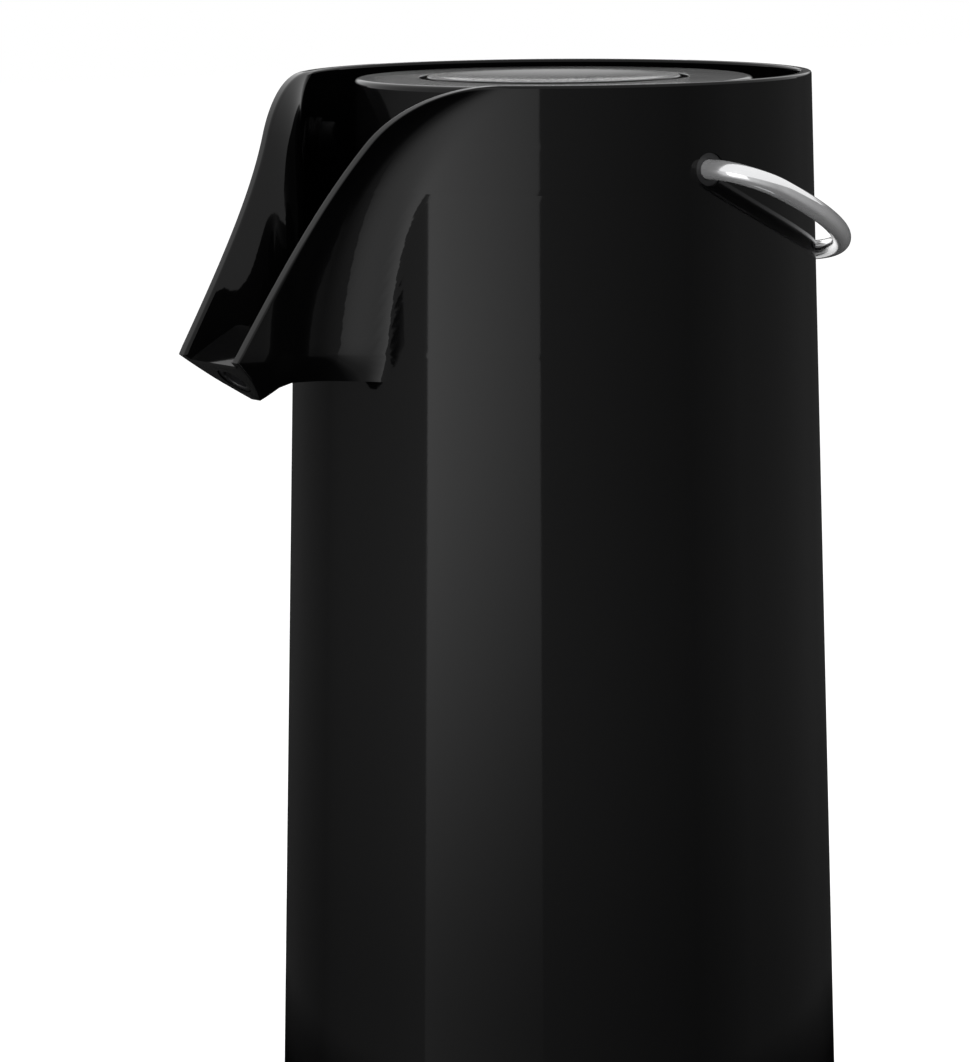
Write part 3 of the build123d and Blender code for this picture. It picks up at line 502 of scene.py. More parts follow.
class Grid:
    """A growing list of points and of the faces between them."""

    def __init__(self) -> None:
        """Starts empty."""
        self.points: list[tuple[float, float, float]] = []
        self.faces: list[tuple[int, ...]] = []

    def take(self, *loops: np.ndarray) -> int:
        """Takes in points without faces.

        Args:
            loops: Rows or loops of points.

        Returns:
            Number of the first of them.
        """
        start = len(self.points)
        for loop in loops:
            self.points.extend(map(tuple, loop))
        return start

    def add(self, rows: list[np.ndarray], skip: Callable | None = None) -> None:
        """Adds a sheet of quads through rows of points.

        Args:
            rows: Rows of equally many points.
            skip: Optional test of a quad's corners, which leaves the quad out where it is true.
        """
        start = self.take(*rows)
        width = len(rows[0])
        for j in range(len(rows) - 1):
            for i in range(width - 1):
                a = start + j * width + i
                quad = (a, a + 1, a + width + 1, a + width)
                if skip is None or not skip(np.array([self.points[q] for q in quad])):
                    self.faces.append(quad)

    def add_both(self, rows: list[np.ndarray], skip: Callable | None = None) -> None:
        """Adds a sheet on the +X side and its mirror image.

        Args:
            rows: Rows of equally many points.
            skip: Optional test of a quad's corners, which leaves the quad out where it is true.
        """
        self.add(rows, skip)
        self.add([row * FLIP for row in rows], skip)

    def add_face(self, corners: list[np.ndarray]) -> None:
        """Adds one face with its own points.

        Args:
            corners: Its corners in order.
        """
        start = self.take(corners)
        self.faces.append(tuple(range(start, start + len(corners))))

    def add_between(self, first: np.ndarray, second: np.ndarray) -> None:
        """Adds quads between two closed loops of equally many points.

        Args:
            first: One loop.
            second: The other loop.
        """
        start = self.take(first, second)
        count = len(first)
        for k in range(count):
            after = (k + 1) % count
            self.faces.append((start + k, start + after, start + count + after, start + count + k))

    def add_flat(self, outline, holes, across: np.ndarray, along: np.ndarray, origin) -> None:
        """Fills a flat region that has an outline and maybe holes.

        Args:
            outline: Points round the region, in space.
            holes: Points round each hole, in space.
            across: Unit vector of the plane.
            along: Second unit vector of the plane.
            origin: Point on the plane.
        """
        flat, solid, edges, borders = [], [], [], []
        for loop in (outline, *holes):
            first = len(flat)
            for point in loop:
                away = point - origin
                flat.append(Vector((float(away @ across), float(away @ along))))
                solid.append(tuple(point))
            edges.extend((first + k, first + (k + 1) % len(loop)) for k in range(len(loop)))
            borders.append(flat[first:])
        verts, _, faces, origins, _, _ = delaunay_2d_cdt(flat, edges, [], 0, 1e-7)
        start = len(self.points)
        for vert, source in zip(verts, origins):
            if source:
                self.points.append(solid[source[0]])
            else:
                self.points.append(tuple(origin + vert.x * across + vert.y * along))
        border, *inner = borders
        for face in faces:
            middle = sum((verts[k] for k in face), Vector((0.0, 0.0))) / len(face)
            if inside(middle, border) and not any(inside(middle, hole) for hole in inner):
                self.faces.append(tuple(start + k for k in face))

    def stitch(self, first: np.ndarray, second: np.ndarray, height: float) -> None:
        """Adds triangles between two closed loops round a pivot, in step with their angles.

        Args:
            first: One loop.
            second: The other loop.
            height: Height of the pivot.
        """
        start = self.take(first, second)
        m, n = len(first), len(second)
        turn_a = np.unwrap(np.arctan2(first[:, 2] - height, first[:, 1]))
        turn_b = np.unwrap(np.arctan2(second[:, 2] - height, second[:, 1]))
        turn_a = np.append(turn_a, turn_a[0] + 2 * math.pi)
        turn_b = np.append(turn_b, turn_b[0] + 2 * math.pi)
        i = j = 0
        while i < m or j < n:
            a, b = start + i % m, start + m + j % n
            if j >= n or (i < m and turn_a[i + 1] <= turn_b[j + 1]):
                i += 1
                self.faces.append((a, start + i % m, b))
            else:
                j += 1
                self.faces.append((a, start + m + j % n, b))


def mirror(point: np.ndarray) -> np.ndarray:
    """The point on the other side of the middle plane."""
    return point * FLIP


def tidy_loop(loop: list[np.ndarray]) -> np.ndarray:
    """Leaves out points that repeat the one before them.

    Args:
        loop: Points round a closed loop.

    Returns:
        The points that are left.
    """
    kept = [loop[0]]
    for point in loop[1:]:
        if np.linalg.norm(point - kept[-1]) > SEAM:
            kept.append(point)
    if np.linalg.norm(kept[0] - kept[-1]) < SEAM:
        kept.pop()
    return np.array(kept)


def smooth(share):
    """Eases a share from 0 to 1 in and out."""
    return share**2 * (3 - 2 * share)


def curve(start, corner, end, share):
    """Point of the parabola from start to end that has its tangents meet in a corner."""
    return (1 - share) ** 2 * start + 2 * share * (1 - share) * corner + share**2 * end


def face_axes(angle: float) -> tuple[np.ndarray, np.ndarray]:
    """Directions of the beak's end face.

    Args:
        angle: Angle of the face from upright, in degrees.

    Returns:
        Unit vectors down along the face and inward from it.
    """
    a = math.radians(angle)
    return np.array([0.0, math.cos(a), -math.sin(a)]), np.array([0.0, math.sin(a), math.cos(a)])


def soften(corners: list[tuple[float, float, float]], steps: int = 5) -> list[tuple[float, float]]:
    """Rounds the corners of a closed section.

    Args:
        corners: Radius, height and rounding of each corner, in order.
        steps: Number of spaces of each rounding.

    Returns:
        Points of the section.
    """
    points = []
    for k, (radius, height, size) in enumerate(corners):
        here = np.array([radius, height])
        if size <= 0:
            points.append((radius, height))
            continue
        before = np.array(corners[k - 1][:2]) - here
        after = np.array(corners[(k + 1) % len(corners)][:2]) - here
        start = here + before / np.linalg.norm(before) * size
        end = here + after / np.linalg.norm(after) * size
        points.extend(tuple(curve(start, here, end, j / steps)) for j in range(steps + 1))
    return points


def lathe(
    name: str, section: list[tuple[float, float]], turns: int, place: Callable | None = None
) -> bpy.types.Object:
    """Turns a closed section round the Z axis.

    Args:
        name: Name of the piece.
        section: Radius and height of each point, in order round the section.
        turns: Number of steps round the axis.
        place: Optional function that moves the points from the Z axis to where they belong.

    Returns:
        The new object.
    """
    angles = np.linspace(0, 2 * math.pi, turns + 1)[:-1]
    profile = np.array(section)
    points = np.stack([
        profile[:, None, 0] * np.cos(angles), profile[:, None, 0] * np.sin(angles),
        np.repeat(profile[:, 1:2], turns, 1),
    ], 2).reshape(-1, 3)
    faces = []
    for j in range(len(profile)):
        after = (j + 1) % len(profile)
        if max(profile[j][0], profile[after][0]) < 1e-6:
            continue
        for k in range(turns):
            beside = (k + 1) % turns
            faces.append((j * turns + k, j * turns + beside, after * turns + beside, after * turns + k))
    return finish_mesh(name, points if place is None else place(points), faces)


@dataclass
class BeakedShell:
    """The jug's outer shell: a cone whose front is drawn out into an open beak.

    Attributes:
        spread: Angle from straight forward at which the beak leaves the cone, at the rim and deep
            down, and the depth over which the one fades into the other.
        half: Half the beak's width, in the same way.
        lip: How far the flank draws in below the top edge, and the drop over which it does so.
        lip_fade: Forward places between which the lip grows smaller, by the share lip_loss.
        lip_run: Length over which the lip starts, from where the beak leaves the cone.
        keel: Depth from which the beak grows narrower, and how fast.
        nose_back: Length of the nose's back, its angle, and the length of its blend.
        patch: Reach of the patch round a pivot hole. Its border lies within patch_border times
            that, the faces beside it within patch_reach times, and its rings grow by patch_growth.
        on_wall: How near a point lies to the wall on which it counts as lying.
        floor_slope: Angle at which the trough's floor rises to the back.
        floor_ends: How far the floor's back starts inside the wall, how far it runs on past that,
            and how far its front stays behind the lip.
    """

    body_height: float = 370.0
    rim_radius: float = 75.0
    base_radius: float = 84.0
    foot_height: float = 4.3
    wall: float = 3.2
    beak_wall: float = 3.8
    brim_flat: float = 53.6
    bend_radius: float = 34.0
    fall: float = 58.4
    reach: float = 119.4
    face_angle: float = 39.0
    face_length: float = 19.3
    underside_depth: float = 84.0
    nose_back: tuple[float, float, float] = (5.5, 43.0, 5.0)
    spread: tuple[float, float, float] = (47.5, 14.0, 28.0)
    half: tuple[float, float, float] = (28.5, 15.0, 33.0)
    bend_gap: float = 2.5
    lip: tuple[float, float] = (7.0, 18.0)
    lip_fade: tuple[float, float] = (92.0, 112.0)
    lip_loss: float = 0.75
    lip_run: float = 14.0
    keel: tuple[float, float] = (74.0, 0.055)
    side_spare: float = 15.0
    edge_round: float = 0.8
    sharp: float = 34.0
    outlet_drop: float = 11.0
    outlet_radius: float = 5.5
    outlet_depth: float = 3.0
    tube_share: float = 0.89
    pivot_depth: float = 24.4
    pivot_radius: float = 4.75
    pivot_side: float = 40.0
    patch: float = 7.6
    patch_reach: float = 2.4
    patch_border: float = 1.7
    patch_growth: float = 1.3
    on_wall: float = 0.05
    level_spare: float = 0.02
    floor_height: float = 301.43
    floor_break: float = 103.0
    floor_slope: float = 5.0
    floor_thickness: float = 2.4
    floor_thinning: float = 0.7
    floor_overlap: float = 0.5
    floor_ends: tuple[float, float, float] = (1.0, 1.5, 0.02)
    lip_drop: float = 2.0
    columns: int = 120
    rounding: int = 4
    dense: int = 3000
    bend_steps: int = 26
    fall_steps: int = 30
    face_steps: int = 10
    keel_steps: int = 4
    outlet_steps: int = 64
    level_steps: int = 42
    cone_steps: int = 12
    floor_steps: int = 8
    floor_across: int = 6
    channel_steps: int = 4
    patch_steps: int = 5

    def __post_init__(self) -> None:
        """Starts the mesh, and works out the side view of the top edge and the end face."""
        self.grid = Grid()
        self.edge, self.drawn, self.at_tip = self.stations()
        self.last = self.at_tip + self.face_steps
        top = np.array(self.edge[: self.at_tip + 1])
        self.top_line = (top[:, 0], top[:, 1])
        self.under = self.body_height - self.underside_depth
        self.down, self.inward = face_axes(self.face_angle)
        tip = self.edge[self.at_tip]
        self.origin = np.array([0.0, -tip[0], tip[1]])

    def cone(self, height):
        """Radius of the outside of the cone at a height."""
        return self.base_radius + (self.rim_radius - self.base_radius) * height / self.body_height

    @staticmethod
    def faded(values: tuple[float, float, float], depth: float) -> float:
        """A measure at a depth below the rim.

        Args:
            values: What it is at the rim and deep down, and the depth over which it fades.
            depth: Depth below the rim.

        Returns:
            The measure there.
        """
        at_rim, deep, fade = values
        return deep + (at_rim - deep) * math.exp(-depth / fade)

    def outline(self, height: float, wall: float, side_wall: float) -> np.ndarray:
        """One half of a level section, from the back round the +X side to the front.

        Args:
            height: Height of the section.
            wall: How far inside the cone it lies.
            side_wall: How far inside the beak's flank it lies.

        Returns:
            Points as rows of x and forward.
        """
        depth = self.body_height - height
        radius = self.cone(height) - wall
        angle = math.radians(self.faded(self.spread, depth))
        half = self.faded(self.half, depth)
        half -= self.keel[1] * max(0.0, depth - self.keel[0]) ** 2 + side_wall
        turn = np.linspace(math.pi, angle, self.dense)
        arc = np.stack([radius * np.sin(turn), radius * np.cos(turn)], 1)
        leave = arc[-1]
        in_by = min(half, leave[0] - self.bend_gap)
        bend = np.array([in_by, leave[1] + (leave[0] - in_by) * math.tan(angle)])
        end = np.array([half, self.reach + self.side_spare])
        flank = curve(leave, bend, end, np.linspace(0, 1, self.dense)[:, None])
        # The flank draws in below the top edge, which leaves a lip that stands out along it
        drop = np.maximum(0.0, np.interp(flank[:, 1], *self.top_line) - height)
        size, reach = self.lip
        settled = np.clip((flank[:, 1] - leave[1]) / self.lip_run, 0, 1)
        near, far = self.lip_fade
        size = size * (1 - self.lip_loss * smooth(np.clip((flank[:, 1] - near) / (far - near), 0, 1)))
        flank[:, 0] -= size * (1 - np.exp(-drop / reach)) * smooth(settled)
        return np.concatenate([arc, flank[1:]])

    def edge_point(self, place: np.ndarray, wall: float = 0.0, side_wall: float = 0.0) -> np.ndarray:
        """Point of the beak's flank above a place of the side view.

        Args:
            place: Forward and height.
            wall: How far inside the cone it lies.
            side_wall: How far inside the beak's flank it lies.

        Returns:
            The point in space, on the +X side.
        """
        front = self.outline(place[1], wall, side_wall)[self.dense :]
        return np.array([np.interp(place[0], front[:, 1], front[:, 0]), -place[0], place[1]])

    def row(
        self, place: np.ndarray, wall: float, side_wall: float, count: int | None = None
    ) -> np.ndarray:
        """Evenly spaced points of a level section, from the back to a place of the side view.

        Args:
            place: Forward and height at which the row ends.
            wall: How far inside the cone it lies.
            side_wall: How far inside the beak's flank it lies.
            count: Number of spaces, or None for the shell's number of columns.

        Returns:
            Points in space on the +X side.
        """
        count = count or self.columns
        line = self.outline(place[1], wall, side_wall)
        run = np.concatenate([[0], np.cumsum(np.hypot(*np.diff(line, axis=0).T))])
        limit = np.interp(place[0], line[self.dense :, 1], run[self.dense :])
        stops = np.linspace(0, limit, count + 1)
        x = np.interp(stops, run, line[:, 0])
        y = np.interp(stops, run, line[:, 1])
        x[0] = 0.0
        return np.stack([x, -y, np.full(count + 1, place[1])], 1)

    def stations(self) -> tuple[list, list, int]:
        """Points of the side view along the top edge, and the same points drawn in by the rounding.

        Returns:
            The edge's points, the drawn-in points, and the number of the one at the tip.
        """
        r = self.edge_round
        fall = math.radians(self.fall)
        face = math.radians(self.face_angle)
        middle = np.array([self.brim_flat, self.body_height - self.bend_radius])
        edge, drawn = [], []
        for k in range(self.bend_steps + 1):
            a = fall * k / self.bend_steps
            outward = np.array([math.sin(a), math.cos(a)])
            edge.append(middle + self.bend_radius * outward)
            drawn.append(middle + (self.bend_radius - r) * outward)
        start = edge[-1]
        down = np.array([math.cos(fall), -math.sin(fall)])
        tip = start + down * (self.reach - start[0]) / down[0]
        into_fall = -np.array([math.sin(fall), math.cos(fall)])
        into_face = np.array([-math.sin(face), math.cos(face)])
        tip_drawn = tip + r * (into_fall + into_face) / (1 + float(into_fall @ into_face))
        for k in range(1, self.fall_steps):
            share = k / self.fall_steps
            place = drawn[self.bend_steps] * (1 - share) + tip_drawn * share
            drawn.append(place)
            edge.append(place - r * into_fall)
        edge.append(tip)
        drawn.append(tip_drawn)
        at_tip = len(edge) - 1
        back = -np.array([math.cos(face), math.sin(face)])
        keel = tip + back * self.face_length
        to_under = (tip_drawn[1] - self.body_height + self.underside_depth) / math.sin(face)
        to_keel = (tip_drawn[1] - keel[1]) / math.sin(face)
        travels = [to_under * k / self.face_steps for k in range(1, self.face_steps + 1)]
        travels += [
            to_under + (to_keel - to_under) * k / self.keel_steps for k in range(1, self.keel_steps + 1)
        ]
        for travel in travels:
            past = max(0.0, travel - to_under) / (to_keel - to_under)
            plain = tip_drawn + back * travel - r * into_face
            edge.append(plain)
            drawn.append(plain + r * (1 - past**2) * into_face)
        return edge, drawn, at_tip

    def build(self) -> bpy.types.Object:
        """Builds the shell as one closed mesh.

        Returns:
            The shell's object.
        """
        hole = self.body_height - self.pivot_depth
        outer, inner, lip = self.add_walls(hole)
        outer_top, inner_top, inner_corner = self.add_brim(outer, inner)
        face_top, nose = self.add_nose(outer, outer_top)
        self.add_end_face([*face_top, inner[-1][-1], inner_corner, inner_top])
        foot = self.add_cone(outer[-1], len(outer[-1]) - nose)
        self.add_floor(lip, foot)
        self.add_pivots(hole)
        return finish_mesh("shell", np.array(self.grid.points), self.grid.faces, self.sharp)

    def add_walls(self, hole: float) -> tuple[list, list, np.ndarray]:
        """Adds the outer and the inner side of the wall, but for a patch round each pivot hole.

        Args:
            hole: Height of the pivot holes.

        Returns:
            Rows of the outer side, rows of the inner side, and the side view's place of the lip.
        """
        def near_pivot(corners: np.ndarray) -> bool:
            """True for a quad that touches the patch round a pivot hole."""
            away = np.hypot(corners[:, 1], corners[:, 2] - hole)
            return bool(away.min() < self.patch and abs(corners[:, 0]).min() > self.pivot_side)

        outer = [self.row(place, 0, 0) for place in self.drawn[: self.last + 1]]
        self.grid.add_both(outer, near_pivot)
        tip = self.edge[self.at_tip]
        # Below the tip the inner edge follows the end face down to the lip of the floor
        lip = tip + self.down[1:] * [-1, 1] * self.lip_drop
        ends = [*self.drawn[: self.at_tip + 1], tip, lip]
        inner = [self.row(place, self.wall, self.beak_wall) for place in ends]
        self.grid.add_both(inner, near_pivot)
        return outer, inner, lip

    def add_brim(self, outer: list, inner: list) -> tuple[np.ndarray, ...]:
        """Adds the rounded top of the wall, round the rim and down the beak.

        Args:
            outer: Rows of the outer side.
            inner: Rows of the inner side.

        Returns:
            The tip's points at the outer and inner side of the flat top, and at the inner corner.
        """
        rim = np.array([self.brim_flat, self.body_height])
        tops = self.edge[1 : self.at_tip + 1]
        corners, ends = [], []
        for rows, walls in ((outer, (0, 0)), (inner, (self.wall, self.beak_wall))):
            corners.append(np.array([*self.row(rim, *walls), *(self.edge_point(p, *walls) for p in tops)]))
            ends.append(np.array([*rows[0], *(row[-1] for row in rows[1 : self.at_tip + 1])]))
        across = corners[1] - corners[0]
        across /= np.linalg.norm(across, axis=1)[:, None]
        outer_top = corners[0] + self.edge_round * across
        inner_top = corners[1] - self.edge_round * across
        rows = self.rounded(ends[0], corners[0], outer_top)
        rows += self.rounded(inner_top, corners[1], ends[1])
        self.grid.add_both(rows)
        cap = [corners[1][-1]] + [row[-1] for row in rows[self.rounding + 1 :]]
        self.grid.add_face(cap)
        self.grid.add_face([mirror(point) for point in cap])
        return outer_top[-1], inner_top[-1], corners[1][-1]

    def rounded(self, start: np.ndarray, corner: np.ndarray, end: np.ndarray) -> list[np.ndarray]:
        """Rows of a rounding between two lines past the sharp corner between them.

        Args:
            start: First line.
            corner: Line of the sharp corner.
            end: Last line.

        Returns:
            The rows, first and last line among them.
        """
        return [curve(start, corner, end, k / self.rounding) for k in range(self.rounding + 1)]

    def add_nose(self, outer: list, top_end: np.ndarray) -> tuple[np.ndarray, int]:
        """Adds the rounded sides of the end face, and the small nose below it.

        Args:
            outer: Rows of the outer side.
            top_end: Where the flat top of the wall ends at the tip.

        Returns:
            The flat end face's edge on the +X side, and the number of points across the nose.
        """
        nose = self.nose_rows(self.drawn[self.last :], outer[-1])
        edge = np.array([self.edge_point(place) for place in self.edge[self.at_tip :]])
        drawn = np.array(
            [row[-1] for row in outer[self.at_tip : self.last + 1]] + [row[-1] for row in nose[1:]]
        )
        sizes = np.linalg.norm(edge - drawn, axis=1)
        top = edge.copy()
        top[:, 0] -= self.edge_round * sizes / sizes[0]
        top[0] = top_end
        self.grid.add_both(self.rounded(drawn, edge, top))
        self.grid.add_both(nose)
        back = np.array([row[0] for row in nose])
        self.grid.add([back, back * FLIP])
        return top, len(nose[0])

    def nose_rows(self, drawn: list[np.ndarray], top_row: np.ndarray) -> list[np.ndarray]:
        """Rows of the nose's flank, from the underside down to the keel.

        Args:
            drawn: Side view points of the end face from the underside to the keel.
            top_row: Row of the shell at the underside.

        Returns:
            Rows of points on the +X side, the first of them part of the shell's row.
        """
        length, angle, blend = self.nose_back
        keel = drawn[-1]
        angle = math.radians(angle)
        back = keel + length * np.array([-math.cos(angle), math.sin(angle)])
        start = top_row[int(np.searchsorted(-top_row[:, 1], back[0] - blend)) :]
        shares = (start[0][1] - start[:, 1]) / (start[0][1] - start[-1][1])
        rows = [start]
        for place in drawn[1:]:
            low = np.interp(
                -place[1], [-start[0][2], -back[1], -keel[1]], [-start[0][1], back[0], keel[0]]
            )
            forwards = low + (place[0] - low) * shares
            rows.append(np.array([self.edge_point((forward, place[1])) for forward in forwards]))
        return rows

    def add_end_face(self, right: list[np.ndarray]) -> None:
        """Adds the flat end face and the outlet in it.

        Args:
            right: The face's border on the +X side, round to the top.
        """
        *sides, lip_point, corner, top = right
        outline = sides + [mirror(point) for point in reversed(sides)]
        outline += [mirror(top), mirror(corner), mirror(lip_point), lip_point, corner, top]
        middle = self.origin + self.down * self.outlet_drop
        turns = np.linspace(0, 2 * math.pi, self.outlet_steps + 1)[:-1, None]
        ring = middle + self.outlet_radius * (np.cos(turns) * ACROSS + np.sin(turns) * self.down)
        self.grid.add_flat(tidy_loop(outline), [ring], ACROSS, self.down, self.origin)
        step = self.inward * self.outlet_depth
        centre = middle + step
        deep = ring + step
        narrow = centre + (deep - centre) * self.tube_share
        end = narrow + step
        for near, far in ((ring, deep), (deep, narrow), (narrow, end)):
            self.grid.add_between(near, far)
        self.grid.add_flat(end, [], ACROSS, self.down, centre + step)

    def add_level(self, row: np.ndarray, radius: float, height: float) -> np.ndarray:
        """Fills the level region between a section's flanks and the cone's circle.

        Args:
            row: Section from the back to the front, on the +X side.
            radius: Radius of the cone at that height.
            height: Height of the region.

        Returns:
            The closed circle of points on which the cone goes on.
        """
        first = int(np.argmax(np.hypot(row[:, 0], row[:, 1]) > radius + self.level_spare)) - 1
        flank = row[first:]
        angle = math.atan2(flank[0][0], -flank[0][1])
        turns = np.linspace(-angle, angle, self.level_steps)[1:-1]
        arc = [np.array([radius * math.sin(a), -radius * math.cos(a), height]) for a in turns]
        outline = [*flank, *(mirror(point) for point in reversed(flank)), *arc]
        self.grid.add_flat(tidy_loop(outline), [], ACROSS, ALONG, np.array([0, 0, height]))
        back = row[: first + 1]
        return np.array([*back, *reversed(arc), *(mirror(point) for point in reversed(back[1:]))])

    def taper(self, loop: np.ndarray, height: float, wall: float) -> np.ndarray:
        """The same points as a loop round the cone, at another height.

        Args:
            loop: Points round the cone.
            height: The other height.
            wall: How far inside the cone the new loop lies.

        Returns:
            The new loop.
        """
        turns = np.arctan2(loop[:, 0], loop[:, 1])
        radius = self.cone(height) - wall
        return np.stack(
            [radius * np.sin(turns), radius * np.cos(turns), np.full(len(loop), height)], 1
        )

    def add_cone(self, row: np.ndarray, nose: int) -> np.ndarray:
        """Adds the cone below the beak, and the level underside as far as the nose.

        Args:
            row: Row of the shell at the underside.
            nose: Number of the row's point at which the nose starts.

        Returns:
            The loop at the foot.
        """
        loop = self.add_level(row[: nose + 1], self.cone(self.under), self.under)
        for height in np.linspace(self.under, self.foot_height, self.cone_steps)[1:]:
            below = self.taper(loop, float(height), 0.0)
            self.grid.add_between(loop, below)
            loop = below
        return loop

    def add_floor(self, lip: np.ndarray, foot: np.ndarray) -> None:
        """Adds the trough's floor as a closed slab, and what closes the shell below it.

        Args:
            lip: Forward place and height of the lip in front of the floor.
            foot: Loop at the foot of the outer side.
        """
        tuck, run_on, gap = self.floor_ends
        start = self.cone(self.floor_height) - self.wall + tuck
        rise = (self.floor_break - start) * math.tan(math.radians(self.floor_slope))
        line = [
            (start - run_on, self.floor_height + rise),
            (self.floor_break, self.floor_height),
            (lip[0] - gap, lip[1]),
        ]
        spots = [
            (f0 + (f1 - f0) * k / self.floor_steps, z0 + (z1 - z0) * k / self.floor_steps)
            for (f0, z0), (f1, z1) in zip(line, line[1:]) for k in range(self.floor_steps)
        ]
        shares = [k / self.floor_across for k in range(-self.floor_across, self.floor_across + 1)]
        top, low = [], []
        for forward, height in [*spots, line[-1]]:
            x = self.edge_point((forward, height), self.wall, self.beak_wall)[0] + self.floor_overlap
            past = max(0.0, (forward - self.floor_break) / (lip[0] - self.floor_break))
            drop = self.floor_thickness * (1 - self.floor_thinning * past)
            top.append(np.array([[share * x, -forward, height] for share in shares]))
            low.append(np.array([[share * x, -forward, height - drop] for share in shares]))
        self.grid.add(top)
        self.grid.add(low)
        for end in (0, -1):
            self.grid.add([np.array([row[end] for row in rows]) for rows in (top, low)])
            self.grid.add([top[end], low[end]])
        self.add_channel(lip, foot)

    def add_channel(self, lip: np.ndarray, foot: np.ndarray) -> None:
        """Adds the channel below the floor, the inner side of the cone and the foot's ring.

        Args:
            lip: Forward place and height of the lip in front of the floor.
            foot: Loop at the foot of the outer side.
        """
        face = math.radians(self.face_angle)
        bottom = self.under + self.wall
        tip = self.edge[self.at_tip]

        def behind(height: float) -> float:
            """Forward place of the plane behind the end face at a height."""
            lifted = tip[1] + self.wall * math.cos(face)
            return tip[0] - self.wall * math.sin(face) - (lifted - height) / math.tan(face)

        upper = self.row(lip, self.wall, self.beak_wall)
        kept = int(np.searchsorted(-upper[:, 1], behind(lip[1])))
        shift = -upper[kept][1] - behind(lip[1])
        rows = [upper[: kept + 1]]
        for height in np.linspace(lip[1], bottom, self.channel_steps)[1:]:
            rows.append(self.row((behind(height) + shift, height), self.wall, self.beak_wall, kept))
        self.grid.add_both(rows)
        self.grid.add([upper[kept:], upper[kept:] * FLIP])
        front = [row[-1] for row in rows]
        outline = tidy_loop(front + [mirror(point) for point in reversed(front)])
        self.grid.add_flat(outline, [], ACROSS, self.down, front[0] * ALONG + front[0] * [0, 0, 1])
        loop = self.add_level(rows[-1], self.cone(bottom) - self.wall, bottom)
        ring = self.taper(loop, self.foot_height, self.wall)
        self.grid.add_between(loop, ring)
        self.grid.add_flat(foot, [ring], ACROSS, ALONG, np.array([0, 0, self.foot_height]))

    def add_pivots(self, height: float) -> None:
        """Adds a patch of rings and a lined hole for the bail on each side.

        Args:
            height: Height of the holes.
        """
        for side in Side:
            walls = (0.0, self.wall)
            borders = [self.patch_loop(height, wall, side.value) for wall in walls]
            holes = []
            for wall, border in zip(walls, borders):
                angles = np.arctan2(border[:, 2] - height, border[:, 1])
                reach = np.hypot(border[:, 2] - height, border[:, 1])
                rings = []
                for k in range(self.patch_steps):
                    share = (k / self.patch_steps) ** self.patch_growth
                    r = self.pivot_radius + (reach - self.pivot_radius) * share
                    y = r * np.cos(angles)
                    z = height + r * np.sin(angles)
                    across = np.sqrt((self.cone(z) - wall) ** 2 - y**2) * side.value
                    rings.append(np.stack([across, y, z], 1))
                rings.append(border)
                for near, far in zip(rings, rings[1:]):
                    self.grid.add_between(near, far)
                holes.append(rings[0])
            self.grid.stitch(*holes, height)

    def patch_loop(self, height: float, wall: float, side: int) -> np.ndarray:
        """Border of the space left round a pivot hole, in order round it.

        Args:
            height: Height of the hole.
            wall: How far inside the cone the side of the wall lies.
            side: Sign of X.

        Returns:
            Points of the border.
        """
        points = np.array(self.grid.points)
        x = points[:, 0] * side
        surface = np.sqrt(np.maximum((self.cone(points[:, 2]) - wall) ** 2 - points[:, 1] ** 2, 0))
        close = np.hypot(points[:, 1], points[:, 2] - height) < self.patch * self.patch_reach
        close &= (np.abs(x - surface) < self.on_wall) & (x > self.pivot_side)
        count = {}
        for face in self.grid.faces:
            if all(close[k] for k in face):
                for a, b in zip(face, face[1:] + face[:1]):
                    key = tuple(sorted((tuple(np.round(points[a], 4)), tuple(np.round(points[b], 4)))))
                    count[key] = count.get(key, 0) + 1
        border = {}
        for (a, b), times in count.items():
            middle = (np.array(a) + np.array(b)) / 2
            away = math.hypot(middle[1], middle[2] - height)
            if times == 1 and away < self.patch * self.patch_border:
                border.update({a: True, b: True})
        found = np.array(list(border))
        return found[np.argsort(np.arctan2(found[:, 2] - height, found[:, 1]))]


@dataclass
class PumpHead:
    """The deep cap that turns on the collar, with the groove round its button.

    Attributes:
        groove: Inner radius, outer radius and depth of the groove.
        guide: Wall and foot of the ring in which the button slides.
    """

    radius: float = 58.3
    wall: float = 2.3
    height: float = 368.6
    foot: float = 305.06
    top: float = 4.0
    edge_round: float = 1.9
    groove: tuple[float, float, float] = (37.4, 39.3, 2.4)
    guide: tuple[float, float] = (2.2, 319.96)
    turns: int = 240

    def build(self) -> bpy.types.Object:
        """Builds the cap as one turned piece.

        Returns:
            The cap's object.
        """
        inner, outer, depth = self.groove
        guide_wall, guide_foot = self.guide
        room = self.radius - self.wall
        return lathe("head", soften([
            (room, self.foot, 0.3),
            (self.radius, self.foot, 0.4),
            (self.radius, self.height, self.edge_round),
            (outer, self.height, 0.4),
            (outer, self.height - depth, 0.3),
            (inner, self.height - depth, 0.2),
            (inner, guide_foot, 0.3),
            (inner + guide_wall, guide_foot, 0.3),
            (inner + guide_wall, self.height - self.top, 0.5),
            (room, self.height - self.top, 0.8),
        ]), self.turns)


